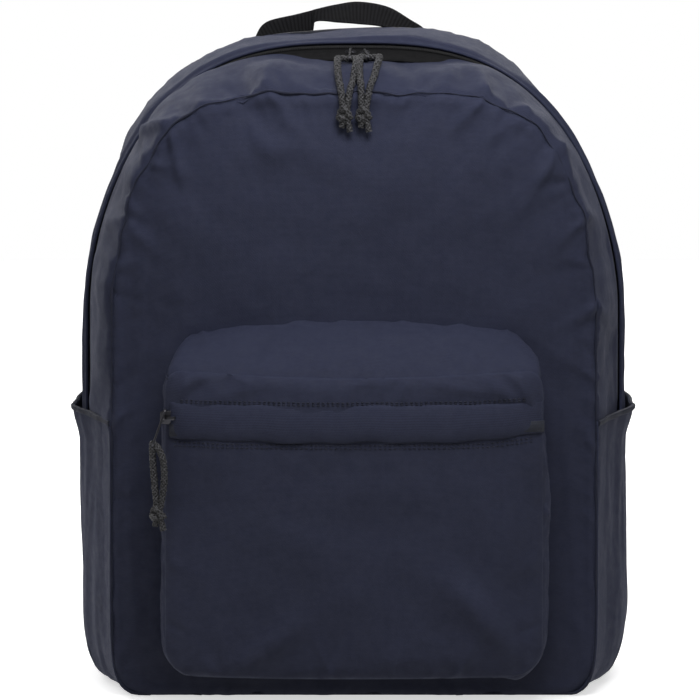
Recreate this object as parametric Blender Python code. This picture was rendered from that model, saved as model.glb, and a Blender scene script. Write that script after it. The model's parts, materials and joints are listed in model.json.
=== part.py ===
"""School backpack: navy fabric daypack with an arched main zip, a front pocket, two side
pockets, a carry handle and two shoulder straps.

Frame: metres, +Z up, origin on the floor under the middle of the main zip, front towards -Y.
"""

import math

import bpy
from mathutils import Matrix, Vector

# ---- driving dimensions ----
DEPTH_FRONT = 0.060  # zip plane to the front seam
DEPTH_REAR = 0.060  # zip plane to the back seam
ARCH_Z = 0.2325  # centre of the arch over the bag's shoulders
BOTTOM_REACH = 0.2345  # arch centre to the underside before it is levelled at the floor
BOTTOM_SQUARENESS = 10.0
FABRIC = 0.0022  # fabric, foam and lining of one wall together
GAP = 0.0003
ZIP_HALF_GAP = 0.005  # zip plane to either gusset edge
FRONT_TUCK = 0.0025  # side and bottom cloth stop this far behind the front seam
CROWN = 0.012  # how far the front panel bows out
PANEL_MIDDLE_Z = 0.19  # where the front panel bows out most
BOTTOM_SEAM_Z = 0.030  # side panels above, bottom panel below
BOTTOM_FLAT_HALF = 0.122  # half width of the part that stands on the floor

BACK_INSET = 0.0010  # outline of each back layer, inside the rear seam
FOAM_INSET = 0.0100
LINING_INSET = 0.0110
BACK_DEPTHS = (0.0605, 0.0630)  # y of each back layer's two faces
FOAM_DEPTHS = (0.0560, 0.0602)
LINING_DEPTHS = (0.0547, 0.0557)

SIDE_POCKET_TOP_Z = 0.169
SIDE_POCKET_HALF_DEPTH = 0.050
SIDE_POCKET_STAND = 0.0028  # how far it stands off the side panel at its foot
SIDE_POCKET_FULLNESS = 0.0030  # and how much further at its top
SIDE_POCKET_CLOTH = 0.0012
HEM_CLOTH = 0.0008
HEM_OUT = 0.0013  # the hem's tape stands this far outside the pocket's cloth

# y, half width, height over ARCH_Z, squareness of the shoulders
STATIONS = (
    (-DEPTH_FRONT, 0.1490, 0.1405, 2.6),
    (-ZIP_HALF_GAP, 0.1645, 0.1645, 2.0),
    (ZIP_HALF_GAP, 0.1645, 0.1650, 2.1),
    (DEPTH_REAR, 0.1635, 0.1625, 2.3),
)

ZIP_R = 0.1585  # main zip coil, about the arch centre
ZIP_END_Z = 0.170
ZIP_ARC = math.radians(10)  # elevation where the opening part of the zip starts
MOUTH_Z = ARCH_Z + ZIP_R * math.sin(ZIP_ARC)  # height of the mouth's fold line
MOUTH_SWING = math.radians(35)
LID_INSET = 0.0026  # the lid's skin lies this far inside the lower skin
LID_LAP = 0.004  # and reaches this far below its upper edge
PULL_R = 0.1685  # bar of a main slider's bridge, about the arch centre
TAPE_CLOTH = 0.0006
TAPE_NEAR = 0.0036  # zip plane to a tape's near edge
TAPE_FAR = 0.0135
ZIP_END_CLOTH = 0.0016
COIL_R = 0.0010
COIL_OUT = 0.0022  # zip plane to the middle of a coil
TAB_LENGTH = 0.013
TAB_HALF_WIDTH = 0.0024
TAB_HALF_THICKNESS = 0.0006
TAB_EYE_R = 0.0016
CORD_EYE_R = 0.0011
CORD_R = 0.0016
KNOT_R = 0.0042
CORD_END = 0.014  # knot to the tip of the loose ends

POCKET_HALF = 0.1175
POCKET_BOTTOM = 0.019
POCKET_FRONT_Y = -0.117  # front of the pocket at its middle
POCKET_ARC_R = 0.58  # bow of the pocket's front, seen from above
POCKET_ZIP_Z = 0.1745
POCKET_TOP_FRONT_Z = 0.204
POCKET_TOP_BACK_Z = 0.233
POCKET_CORNER = 0.016  # how far the pocket front narrows at its foot
POCKET_GUSSET_CORNER = 0.020
POCKET_LOWER_TOP_Z = 0.1690  # pocket front below the zip
POCKET_BAND_Z = 0.1800  # band above the zip
POCKET_TOP_CLOTH = 0.0015
POCKET_ZIP_HALF = 0.1140
POCKET_ZIP_IN = 0.0028  # the zip's tapes lie this far behind the pocket front
POCKET_SLIDER_X = -0.1075
POCKET_TAB_LENGTH = 0.0200
POCKET_BAR_OUT = 0.0050  # bar of the pocket slider's bridge, in front of the pocket
FLAP_HALF = 0.1050
FLAP_CLOTH = 0.0020
# height and how far the flap over the pocket zip stands out there
FLAP_PROFILE = ((0.1665, 0.0100), (0.180, 0.0105), (0.1900, 0.0090), (0.1960, 0.0026))

STRAP_X = 0.060  # middle of the bag to the middle of a shoulder strap
STRAP_TOP = Vector((0.0, 0.0730, 0.365))
STRAP_FOOT = Vector((0.0, 0.0730, 0.065))
STRAP_LENGTH = 0.210  # top seam to ladder lock
STRAP_TILT = math.radians(8)
PAD_WIDTH = 0.060
PAD_THICKNESS = 0.010
PAD_LENGTH = 0.175
WEBBING_WIDTH = 0.025
WEBBING_THICKNESS = 0.0015
LOOP_THICKNESS = 0.0025
WEBBING_TAIL = 0.022  # how far the lower webbing runs on past the ladder lock
LOCK_HALF_WIDTH = 0.0170
LOCK_POST = 0.0032
HANDLE_THICKNESS = 0.0020
HANDLE_HALF = 0.045
HANDLE_Y = 0.0678
HANDLE_Z = 0.389
HANDLE_TOP = 0.4135


# ---- materials ----
def material(name, colour, roughness, metallic=0.0):
    found = bpy.data.materials.get(name) or bpy.data.materials.new(name)
    found.use_nodes = True
    shader = found.node_tree.nodes["Principled BSDF"]
    shader.inputs["Base Color"].default_value = (*colour, 1.0)
    shader.inputs["Roughness"].default_value = roughness
    shader.inputs["Metallic"].default_value = metallic
    return found


def navy_fabric():
    return material("navy_fabric", (0.027, 0.029, 0.047), 0.85)


def lining_fabric():
    return material("lining_fabric", (0.012, 0.013, 0.018), 0.9)


def foam():
    return material("foam", (0.03, 0.03, 0.035), 0.95)


def black_tape():
    return material("black_tape", (0.008, 0.008, 0.010), 0.8)


def gunmetal():
    return material("gunmetal", (0.25, 0.25, 0.26), 0.35, 1.0)


def braided_cord():
    return material("braided_cord", (0.014, 0.014, 0.017), 0.8)


def black_plastic():
    return material("black_plastic", (0.012, 0.012, 0.014), 0.45)


# ---- mesh helpers ----
def new_object(name, points, faces, look, origin=(0.0, 0.0, 0.0)):
    origin = Vector(origin)
    mesh = bpy.data.meshes.new(name)
    mesh.from_pydata([Vector(p) - origin for p in points], [], faces)
    mesh.materials.append(look)
    made = bpy.data.objects.new(name, mesh)
    made.location = origin
    bpy.context.scene.collection.objects.link(made)
    mesh.shade_smooth()
    mesh.set_sharp_from_angle(angle=math.radians(40))
    return made


def sheet(name, rows, look, thickness=FABRIC):
    """A skin over rows of points, thickened behind the side that faces out.

    Rows run so that (next point) x (next row) faces out.
    """
    wide = len(rows[0])
    points = [p for row in rows for p in row]
    faces = []
    for i in range(len(rows) - 1):
        for j in range(wide - 1):
            a = i * wide + j
            faces.append((a, a + 1, a + wide + 1, a + wide))
    made = new_object(name, points, faces, look)
    thick = made.modifiers.new("thickness", "SOLIDIFY")
    thick.thickness = thickness
    thick.offset = -1.0
    return made


def ribbon(name, centres, across, normals, width, thickness, look, origin=(0, 0, 0)):
    """A flat strip along centres, with its width along across and its thickness along normals."""
    points = []
    widths = width if isinstance(width, list) else [width] * len(centres)
    for centre, side, normal, wide in zip(centres, across, normals, widths):
        half_side = Vector(side).normalized() * wide / 2
        half_normal = Vector(normal).normalized() * thickness / 2
        for a, b in ((-1, -1), (1, -1), (1, 1), (-1, 1)):
            points.append(Vector(centre) + half_side * a + half_normal * b)
    return tube_mesh(name, points, 4, look, origin)


def tube_mesh(name, points, sides, look, origin):
    """Closes rings of points, each with this many corners, into a tube with flat ends."""
    rings = len(points) // sides
    faces = [tuple(range(sides))[::-1], tuple(range((rings - 1) * sides, rings * sides))]
    for i in range(rings - 1):
        for j in range(sides):
            a = i * sides + j
            b = i * sides + (j + 1) % sides
            faces.append((a, b, b + sides, a + sides))
    volume = 0.0
    for face in faces:
        for k in range(1, len(face) - 1):
            a, b, c = (Vector(points[n]) for n in (face[0], face[k], face[k + 1]))
            volume += a.dot(b.cross(c))
    if volume < 0:
        faces = [face[::-1] for face in faces]
    return new_object(name, points, faces, look, origin)


def rod(name, centres, radius, look, origin=(0, 0, 0), sides=6):
    """A round bar along centres."""
    points = []
    for i, centre in enumerate(centres):
        before = Vector(centres[max(i - 1, 0)])
        after = Vector(centres[min(i + 1, len(centres) - 1)])
        along = (after - before).normalized()
        side = along.cross(Vector((0.31, 0.87, 0.38))).normalized()
        other = along.cross(side)
        for k in range(sides):
            turn = 2 * math.pi * k / sides
            offset = side * math.cos(turn) + other * math.sin(turn)
            points.append(Vector(centre) + offset * radius)
    return tube_mesh(name, points, sides, look, origin)


def box(name, low, high, look, origin=(0, 0, 0)):
    points = []
    for z in (low[2], high[2]):
        for x, y in ((0, 0), (1, 0), (1, 1), (0, 1)):
            points.append(((low[0], high[0])[x], (low[1], high[1])[y], z))
    return tube_mesh(name, points, 4, look, origin)


def combine(base, others, operation="UNION"):
    """Joins or cuts the others into base with Booleans, and keeps them as hidden helpers."""
    for other in others:
        step = base.modifiers.new(operation.lower(), "BOOLEAN")
        step.operation = operation
        step.object = other
        other.hide_render = True
        other.display_type = "WIRE"
    return base


def turned(made, angle):
    """Turns an object about its own origin, about +Y (positive swings the top towards +X)."""
    helpers = [step.object for step in made.modifiers if step.type == "BOOLEAN"]
    for thing in [made] + helpers:
        thing.rotation_euler = (0.0, angle, 0.0)
    return made


# ---- the bag's outer form ----
def form_at(y):
    """(half width, height over ARCH_Z, squareness) at depth y."""
    for low, high in zip(STATIONS, STATIONS[1:]):
        if y <= high[0]:
            break
    share = min(max((y - low[0]) / (high[0] - low[0]), 0.0), 1.0)
    return tuple(a + (b - a) * share for a, b in zip(low[1:], high[1:]))


def half_width(z, y):
    half, height, squareness = form_at(y)
    if z < ARCH_Z:
        height = BOTTOM_REACH
        squareness = BOTTOM_SQUARENESS
    share = min(abs(z - ARCH_Z) / height, 1.0)
    return half * (1 - share**squareness) ** (1 / squareness)


def arch_point(turn, y, inset=0.0, z_low=ARCH_Z):
    """A point of the arch, at a turn from 0 (right end, at z_low) to 1 (left end)."""
    half, height, squareness = form_at(y)
    start = math.atan2(z_low - ARCH_Z, half)
    angle = start + turn * (math.pi - 2 * start)
    c, s = abs(math.cos(angle)), math.sin(angle)
    reach = 1 / ((c / half) ** squareness + (s / height) ** squareness) ** (1 / squareness)
    reach -= inset
    return Vector((reach * math.cos(angle), y, ARCH_Z + reach * s))


def steps(low, high, count):
    return [low + (high - low) * i / count for i in range(count + 1)]


def crown_y(x, z):
    """Depth of the bowed front panel."""
    across = x / half_width(min(max(z, 0.01), 0.36), -DEPTH_FRONT)
    up = (z - PANEL_MIDDLE_Z) / PANEL_MIDDLE_Z
    bow = max(1 - across**4, 0.0) * max(1 - up**4, 0.0)
    return -DEPTH_FRONT - CROWN * bow


def mouth_cut(y):
    """Height of the lower skin's upper edge, which leaves room for the lid to swing."""
    return MOUTH_Z - abs(y) * math.tan(MOUTH_SWING / 2)


# ---- fixed body of the bag ----
def back_plate(name, inset, depths, look):
    """A flat layer behind the bag, with the rear seam's outline drawn in by inset."""
    outline = [arch_point(t, DEPTH_REAR, inset) for t in steps(0, 1, 20)]
    foot = inset + 0.004
    for z in (0.08, 0.045, 0.02):
        outline.append(Vector((-half_width(z, DEPTH_REAR) + inset, 0, max(z, foot))))
    outline.append(Vector((-0.130 + inset, 0, foot)))
    outline.append(Vector((0.130 - inset, 0, foot)))
    for z in (0.02, 0.045, 0.08):
        outline.append(Vector((half_width(z, DEPTH_REAR) - inset, 0, max(z, foot))))
    points = [(p.x, y, p.z) for y in depths for p in outline]
    return tube_mesh(name, points, len(outline), look, (0, 0, 0))


def build_back():
    back_plate("back_panel", BACK_INSET, BACK_DEPTHS, navy_fabric())
    back_plate("back_foam", FOAM_INSET, FOAM_DEPTHS, foam())
    back_plate("back_lining", LINING_INSET, LINING_DEPTHS, lining_fabric())


def build_rear_gusset():
    rows = []
    for y in (DEPTH_REAR, 0.032, ZIP_HALF_GAP):
        row = [Vector((half_width(z, y), y, z)) for z in (ZIP_END_Z + GAP, 0.2)]
        row += [arch_point(t, y) for t in steps(0, 1, 28)]
        row += [Vector((-half_width(z, y), y, z)) for z in (0.2, ZIP_END_Z + GAP)]
        rows.append(row)
    sheet("rear_gusset", rows, navy_fabric())


def build_sides():
    for side, word in ((-1, "left"), (1, "right")):
        depths = steps(-DEPTH_FRONT + FRONT_TUCK, DEPTH_REAR, 4)
        heights = (ZIP_END_Z, 0.12, 0.075, 0.045, BOTTOM_SEAM_Z)
        rows = [[Vector((side * half_width(z, y), y, z)) for y in depths] for z in heights]
        if side > 0:
            rows = rows[::-1]
        sheet(f"side_panel_{word}", rows, navy_fabric())
        rows = []
        for y in steps(-DEPTH_FRONT + FRONT_TUCK, -ZIP_HALF_GAP, 3):
            low, high = ZIP_END_Z + GAP, mouth_cut(y)
            rows.append([Vector((side * half_width(z, y), y, z)) for z in steps(low, high, 3)])
        if side < 0:
            rows = rows[::-1]
        sheet(f"front_gusset_foot_{word}", rows, navy_fabric())


def build_bottom():
    rows = []
    for y in (-DEPTH_FRONT + FRONT_TUCK, 0.0, DEPTH_REAR):
        right = [
            Vector((half_width(z, y), y, z))
            for z in (BOTTOM_SEAM_Z - 4 * GAP, 0.020, 0.012, 0.006, 0.002)
        ]
        flat = [Vector((x, y, 0.0)) for x in (BOTTOM_FLAT_HALF, 0.0, -BOTTOM_FLAT_HALF)]
        left = [Vector((-p.x, p.y, p.z)) for p in right[::-1]]
        rows.append(right + flat + left)
    sheet("bottom_panel", rows, navy_fabric())


def build_lower_front():
    rows = []
    top = mouth_cut(DEPTH_FRONT + CROWN)
    for z in (0.006, 0.016, 0.035, 0.08, 0.14, 0.20, top):
        half = half_width(z, -DEPTH_FRONT)
        across = [half * math.sin(math.pi / 2 * s) for s in steps(-1, 1, 12)]
        row = [Vector((x, crown_y(x, z), z)) for x in across]
        rows.append(row)
    sheet("front_panel_lower", rows, navy_fabric())


def build_side_pockets():
    for side, word in ((-1, "left"), (1, "right")):
        depths = steps(-SIDE_POCKET_HALF_DEPTH, SIDE_POCKET_HALF_DEPTH, 4)
        heights = (SIDE_POCKET_TOP_Z, 0.150, 0.10, 0.055, 0.024)

        def skin(z, y, extra=0.0):
            stand = SIDE_POCKET_STAND + SIDE_POCKET_FULLNESS * (z / SIDE_POCKET_TOP_Z) ** 3 + extra
            return Vector((side * (half_width(z, y) + stand), y, z))

        rows = [[skin(z, y) for y in depths] for z in heights]
        hem = [[skin(z, y, HEM_OUT) for y in depths] for z in (0.1700, 0.1600)]
        if side > 0:
            rows = rows[::-1]
            hem = hem[::-1]
        sheet(f"side_pocket_{word}", rows, navy_fabric(), SIDE_POCKET_CLOTH)
        sheet(f"side_pocket_hem_{word}", hem, black_tape(), HEM_CLOTH)


# ---- main zip ----
def zip_point(angle, y, reach=ZIP_R):
    """A point over the arch centre at this elevation angle."""
    return Vector((reach * math.cos(angle), y, ARCH_Z + reach * math.sin(angle)))


def zip_half(words, side):
    """Tape and coil of one half of the main zip; side is -1 for the front half."""
    angles = steps(ZIP_ARC, math.pi - ZIP_ARC, 40)
    rows = []
    for y, reach in ((TAPE_FAR, ZIP_R - 0.0036), (TAPE_NEAR, ZIP_R + 0.0004)):
        rows.append([zip_point(a, side * y, reach) for a in angles])
    if side < 0:
        rows = rows[::-1]
    sheet(f"main_zip_tape_{words}", rows, black_tape(), TAPE_CLOTH)
    centres = [zip_point(a, side * COIL_OUT) for a in angles]
    rod(f"main_zip_coil_{words}", centres, COIL_R, black_plastic())


def build_closed_zip_ends():
    for side, word in ((-1, "left"), (1, "right")):
        rows = []
        for z in steps(ZIP_END_Z + 0.001, 0.2370, 2):
            rows.append([Vector((side * (ZIP_R + 0.0004), y, z)) for y in (-TAPE_FAR, TAPE_FAR)])
        if side < 0:
            rows = rows[::-1]
        sheet(f"main_zip_end_{word}", rows, black_tape(), ZIP_END_CLOTH)


# ---- lid: the part that opens ----
def build_lid():
    rows = []
    for y in (-ZIP_HALF_GAP, -0.032, -DEPTH_FRONT + LID_INSET + FRONT_TUCK):
        low = mouth_cut(y) - LID_LAP
        rows.append([arch_point(t, y, LID_INSET, low) for t in steps(0, 1, 28)])
    sheet("front_gusset", rows, navy_fabric())
    low = mouth_cut(DEPTH_FRONT + CROWN) - LID_LAP
    turns = steps(0, 1, 20)
    rim = [arch_point(t, -DEPTH_FRONT, LID_INSET, low) for t in turns]
    half = rim[0].x - 0.006
    rows = []
    for share in (0.0, 0.25, 0.5, 0.75, 1.0):
        row = []
        for t, edge in zip(turns, rim):
            foot = Vector((half * math.cos(math.pi * t), 0, low))
            p = foot.lerp(edge, share)
            row.append(Vector((p.x, crown_y(p.x, p.z) + LID_INSET + 3 * GAP, p.z)))
        rows.append(row)
    sheet("front_panel_upper", [row[::-1] for row in rows], navy_fabric())


# ---- main sliders and pulls ----
SLIDER_TURN = {"left": math.radians(-1.2), "right": math.radians(3.7)}
ARCH_CENTRE = Vector((0, 0, ARCH_Z))


def slider_solid(name, reach, bar, place, origin):
    """Two plates, a post between the zip halves, and a bridge whose bar is at this reach.

    place(along, across, out) gives a point, with out measured like reach.
    """
    rise = bar - reach

    def block(label, low, high):
        points = []
        for out in (low[2], high[2]):
            for a, b in ((0, 0), (1, 0), (1, 1), (0, 1)):
                points.append(place((low[0], high[0])[a], (low[1], high[1])[b], reach + out))
        return tube_mesh(label, points, 4, gunmetal(), origin)

    body = block(name, (-0.006, -0.0040, 0.0015), (0.006, 0.0040, 0.0027))
    others = [
        block(f"{name}_under", (-0.005, -0.0036, -0.0027), (0.005, 0.0036, -0.0015)),
        block(f"{name}_post", (-0.0015, -0.0007, -0.0020), (0.0015, 0.0007, 0.0020)),
        block(f"{name}_leg_a", (-0.0048, -0.0010, 0.0020), (-0.0036, 0.0010, rise + 0.0007)),
        block(f"{name}_leg_b", (0.0036, -0.0010, 0.0020), (0.0048, 0.0010, rise + 0.0007)),
        block(f"{name}_bar", (-0.0044, -0.0008, rise - 0.0005), (0.0044, 0.0008, rise + 0.0005)),
    ]
    return combine(body, others)


def plate_with_eyes(name, place, length, origin, look):
    """A flat pull tab with a round eye at each end; place(along, up, thick) gives a point."""
    outline = []
    half = TAB_HALF_WIDTH
    for k in range(7):
        turn = math.pi / 2 + math.pi * k / 6
        outline.append((half * math.cos(turn), half * math.sin(turn)))
    for k in range(7):
        turn = -math.pi / 2 + math.pi * k / 6
        outline.append((length + half * math.cos(turn), half * math.sin(turn)))
    points = [place(a, b, t) for t in (-TAB_HALF_THICKNESS, TAB_HALF_THICKNESS) for a, b in outline]
    tab = tube_mesh(name, points, len(outline), look, origin)
    eyes = []
    for number, (centre, size) in enumerate(((0.0, TAB_EYE_R), (length, CORD_EYE_R))):
        ring = []
        for thick in (-0.002, 0.002):
            for k in range(10):
                turn = 2 * math.pi * k / 10
                ring.append(place(centre + size * math.cos(turn), size * math.sin(turn), thick))
        eyes.append(tube_mesh(f"{name}_eye_{number}", ring, 10, look, origin))
    return combine(tab, eyes, "DIFFERENCE")


def cord_loop(name, centre_line, spread, origin):
    """A cord doubled through an eye, with a knot and one loose end; spread(i) is its half width."""
    count = len(centre_line)
    left = [centre_line[i] + Vector((-spread(i), 0, 0)) for i in range(count)]
    right = [centre_line[i] + Vector((spread(i), 0, 0)) for i in range(count)]
    loop = rod(name, left[::-1] + right, CORD_R, braided_cord(), origin)
    end = centre_line[-1]
    fall = (end - centre_line[-2]).normalized()
    knot_line = [end - fall * 0.003, end + fall * 0.007]
    knot = rod(f"{name}_knot", knot_line, KNOT_R, braided_cord(), origin)
    tail = rod(f"{name}_tail", [end, end + fall * CORD_END], CORD_R, braided_cord(), origin)
    return combine(loop, [knot, tail])


def build_main_pulls():
    for word, turn in SLIDER_TURN.items():

        def place(along, across, reach):
            return Vector((along, across, ARCH_Z + reach))

        turned(slider_solid(f"main_slider_{word}", ZIP_R, PULL_R, place, ARCH_CENTRE), turn)
        bar = Vector((PULL_R * math.sin(turn), 0, ARCH_Z + PULL_R * math.cos(turn)))

        def tab_place(along, up, thick):
            return bar + Vector((thick, -along, up))

        plate_with_eyes(f"main_pull_tab_{word}", tab_place, TAB_LENGTH, bar, gunmetal())
        eye = bar + Vector((0, -TAB_LENGTH, 0))
        line = [
            eye + Vector((0, -0.0045, 0.0000)),
            eye + Vector((0, -0.0140, -0.0020)),
            eye + Vector((0, -0.0330, -0.0110)),
            eye + Vector((0, -0.0520, -0.0200)),
            eye + Vector((0, -0.0620, -0.0290)),
            eye + Vector((0, -0.0660, -0.0400)),
        ]
        width = (0.0020, 0.0044, 0.0055, 0.0050, 0.0035, 0.0018)
        cord_loop(f"main_cord_{word}", line, lambda i: width[i], eye)


# ---- front pocket ----
def pocket_front_y(x, out=0.0):
    """Depth of the pocket's bowed front; out moves it forward along its own radius."""
    reach = POCKET_ARC_R + out
    return POCKET_FRONT_Y + POCKET_ARC_R - math.sqrt(reach * reach - x * x)


def pocket_arc(z, out, half, count=10):
    return [Vector((x, pocket_front_y(x, out), z)) for x in steps(-half, half, count)]


def build_pocket_walls():
    half = POCKET_HALF - 0.0005
    heights = (POCKET_BOTTOM + GAP, POCKET_BOTTOM + 0.012, 0.08, 0.13, POCKET_LOWER_TOP_Z)
    rows = []
    for z in heights:
        near_floor = max(0.0, 1 - (z - POCKET_BOTTOM) / POCKET_CORNER)
        rows.append(pocket_arc(z, 0.0, half - POCKET_CORNER * near_floor**2))
    sheet("pocket_front", rows, navy_fabric())
    band = [pocket_arc(z, 0.0, half) for z in (POCKET_BAND_Z, 0.192, POCKET_TOP_FRONT_Z)]
    sheet("pocket_band", band, navy_fabric())
    flap = [pocket_arc(z, out, FLAP_HALF) for z, out in FLAP_PROFILE]
    sheet("pocket_zip_flap", flap, navy_fabric(), FLAP_CLOTH)


def pocket_section(y_share, z_top):
    """Half a walk round the pocket's side and bottom wall, from its top edge to the middle."""
    corner = POCKET_GUSSET_CORNER
    walk = [(POCKET_HALF, z_top), (POCKET_HALF, 0.12), (POCKET_HALF, POCKET_BOTTOM + corner)]
    for k in range(1, 4):
        turn = math.pi / 2 * k / 3
        x = POCKET_HALF - corner * (1 - math.cos(turn))
        z = POCKET_BOTTOM + corner * (1 - math.sin(turn))
        walk.append((x, z))
    full = walk + [(-x, z) for x, z in walk[::-1]]
    row = []
    for x, z in full:
        back = crown_y(x, z) - 0.0014
        front = pocket_front_y(x) + FABRIC + 0.0006
        row.append(Vector((x, back + (front - back) * y_share, z)))
    return row


def build_pocket_gusset():
    rows = [
        pocket_section(share, z_top)
        for share, z_top in ((0.0, 0.2300), (0.5, 0.2150), (1.0, 0.2010))
    ]
    sheet("pocket_gusset", rows[::-1], navy_fabric())
    rows = []
    for share in (0.0, 0.5, 1.0):
        row = []
        for x in steps(-POCKET_HALF, POCKET_HALF, 10):
            back = crown_y(x, POCKET_TOP_BACK_Z) - 0.0016
            front = pocket_front_y(x) + FABRIC + 0.0006
            z = POCKET_TOP_BACK_Z + 0.0012 + (POCKET_TOP_FRONT_Z - POCKET_TOP_BACK_Z) * share
            row.append(Vector((x, back + (front - back) * share, z)))
        rows.append(row)
    sheet("pocket_top_gusset", rows[::-1], navy_fabric(), POCKET_TOP_CLOTH)


def build_pocket_zip():
    for word, sign in (("lower", -1), ("upper", 1)):
        near = POCKET_ZIP_Z + sign * 0.0042
        far = POCKET_ZIP_Z + sign * 0.0125
        rows = [pocket_arc(z, -POCKET_ZIP_IN, POCKET_ZIP_HALF, 12) for z in sorted((near, far))]
        sheet(f"pocket_zip_tape_{word}", rows, black_tape(), TAPE_CLOTH)
        centres = pocket_arc(POCKET_ZIP_Z + sign * COIL_OUT, -0.0020, POCKET_ZIP_HALF, 16)
        rod(f"pocket_zip_coil_{word}", centres, COIL_R, black_plastic())


def build_pocket_pull():
    axis = Vector((0, POCKET_FRONT_Y + POCKET_ARC_R, POCKET_ZIP_Z))
    turn = math.asin(POCKET_SLIDER_X / POCKET_ARC_R)

    def place(along, across, out):
        spun = Matrix.Rotation(turn, 3, "Z")
        return axis + spun @ Vector((along, -out, across))

    bar_reach = POCKET_ARC_R + POCKET_BAR_OUT
    slider_solid("pocket_slider", POCKET_ARC_R - 0.0020, bar_reach, place, axis)
    bar = place(0, 0, bar_reach)

    def tab_place(along, up, thick):
        return place(thick, -along, bar_reach + up)

    plate_with_eyes("pocket_pull_tab", tab_place, POCKET_TAB_LENGTH, bar, gunmetal())
    eye = bar + Vector((0, 0, -POCKET_TAB_LENGTH))
    line = [eye + Vector((0, 0, -z)) for z in (0.0045, 0.012, 0.028, 0.040)]
    width = (0.0020, 0.0036, 0.0040, 0.0018)
    cord_loop("pocket_cord", line, lambda i: width[i], bar)


# ---- carry handle and shoulder straps ----
def build_handle():
    pivot = Vector((0, HANDLE_Y, HANDLE_Z))
    centres, across, normals, widths = [], [], [], []
    for t in steps(-1, 1, 12):
        rise = 1 - abs(t) ** 3.2
        x = HANDLE_HALF * math.copysign(min(abs(t) * 1.05, 1.0), t)
        centres.append(Vector((x, HANDLE_Y, HANDLE_Z + 0.001 + (HANDLE_TOP - HANDLE_Z - 0.002) * rise)))
        flat = min(1.0, max(0.0, (1 - abs(t)) / 0.45))
        normals.append(Vector((math.copysign(1 - flat, t), 0, flat + 0.05)))
        across.append(Vector((0, 1, 0)))
        widths.append(0.004 + 0.012 * flat)
    ribbon("carry_handle", centres, across, normals, widths, HANDLE_THICKNESS, black_tape(), pivot)


def build_strap(word, side):
    middle = Vector((side * STRAP_X, 0, 0))
    top = STRAP_TOP + middle
    foot = STRAP_FOOT + middle
    down = Vector((0, math.sin(STRAP_TILT), -math.cos(STRAP_TILT)))
    outward = Vector((0, math.cos(STRAP_TILT), math.sin(STRAP_TILT)))
    lock = top + down * STRAP_LENGTH
    pad_line = [top + down * s for s in (0.004, 0.05, 0.10, 0.14, PAD_LENGTH)]
    wide = [Vector((1, 0, 0))] * len(pad_line)
    ribbon(
        f"strap_pad_{word}", pad_line, wide, [outward] * len(pad_line), PAD_WIDTH, PAD_THICKNESS,
        navy_fabric(), top,
    )
    loop_line = [
        top + down * (PAD_LENGTH + GAP) - outward * 0.0015,
        top + down * (STRAP_LENGTH - 0.0055) - outward * 0.0044,
    ]
    ribbon(
        f"strap_loop_{word}", loop_line, wide[:2], [outward] * 2, WEBBING_WIDTH, LOOP_THICKNESS,
        black_tape(), top,
    )
    build_ladder_lock(word, lock, foot)
    rise = (lock - foot).normalized()
    out = Vector((0, rise.z, -rise.y))
    length = (lock - foot).length + WEBBING_TAIL
    web = [foot + rise * 0.003, foot + rise * length]
    ribbon(
        f"lower_webbing_{word}", web, wide[:2], [out] * 2, WEBBING_WIDTH, WEBBING_THICKNESS,
        black_tape(), foot,
    )
    low = foot + Vector((-0.018, -0.0096, -0.022))
    high = foot + Vector((0.018, 0.0010, 0.000))
    box(f"strap_anchor_{word}", low, high, navy_fabric())


def build_ladder_lock(word, lock, foot):
    """A plastic frame in the plane of the webbing, with a slot that the webbing runs through."""
    rise = (lock - foot).normalized()
    out = Vector((0, rise.z, -rise.y))

    def block(label, low, high):
        points = []
        for u in (low[2], high[2]):
            for a, b in ((0, 0), (1, 0), (1, 1), (0, 1)):
                x = (low[0], high[0])[a]
                n = (low[1], high[1])[b]
                points.append(lock + Vector((x, 0, 0)) + out * n + rise * u)
        return tube_mesh(label, points, 4, black_plastic(), lock)

    name = f"ladder_lock_{word}"
    half = LOCK_HALF_WIDTH
    frame = block(name, (-half, -0.0056, -0.0125), (half, -0.0032, 0.0030))
    others = []
    for label, x in (("a", -half), ("b", half - LOCK_POST)):
        post = block(f"{name}_post_{label}", (x, -0.0050, -0.0120), (x + LOCK_POST, 0.0050, 0.0025))
        others.append(post)
    others.append(block(f"{name}_bar", (-0.0165, 0.0034, -0.0110), (0.0165, 0.0056, -0.0050)))
    return combine(frame, others)


def build_straps():
    for word, side in (("left", -1), ("right", 1)):
        build_strap(word, side)
    low = (-0.092, 0.0634, 0.348)
    high = (0.092, 0.0664, 0.366)
    box("strap_yoke", low, high, navy_fabric())


def clear_scene():
    for thing in list(bpy.data.objects):
        bpy.data.objects.remove(thing, do_unlink=True)


def main():
    clear_scene()
    build_back()
    build_rear_gusset()
    build_sides()
    build_bottom()
    build_lower_front()
    build_side_pockets()
    zip_half("rear", 1)
    zip_half("front", -1)
    build_closed_zip_ends()
    build_lid()
    build_main_pulls()
    build_pocket_walls()
    build_pocket_gusset()
    build_pocket_zip()
    build_pocket_pull()
    build_handle()
    build_straps()


main()
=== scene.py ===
"""Looks of the school backpack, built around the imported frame. Metres, +Z up, front towards -Y."""

import json
import math

import bmesh
import bpy
import numpy as np
from mathutils import Matrix, Vector, noise
from mathutils.bvhtree import BVHTree


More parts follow.
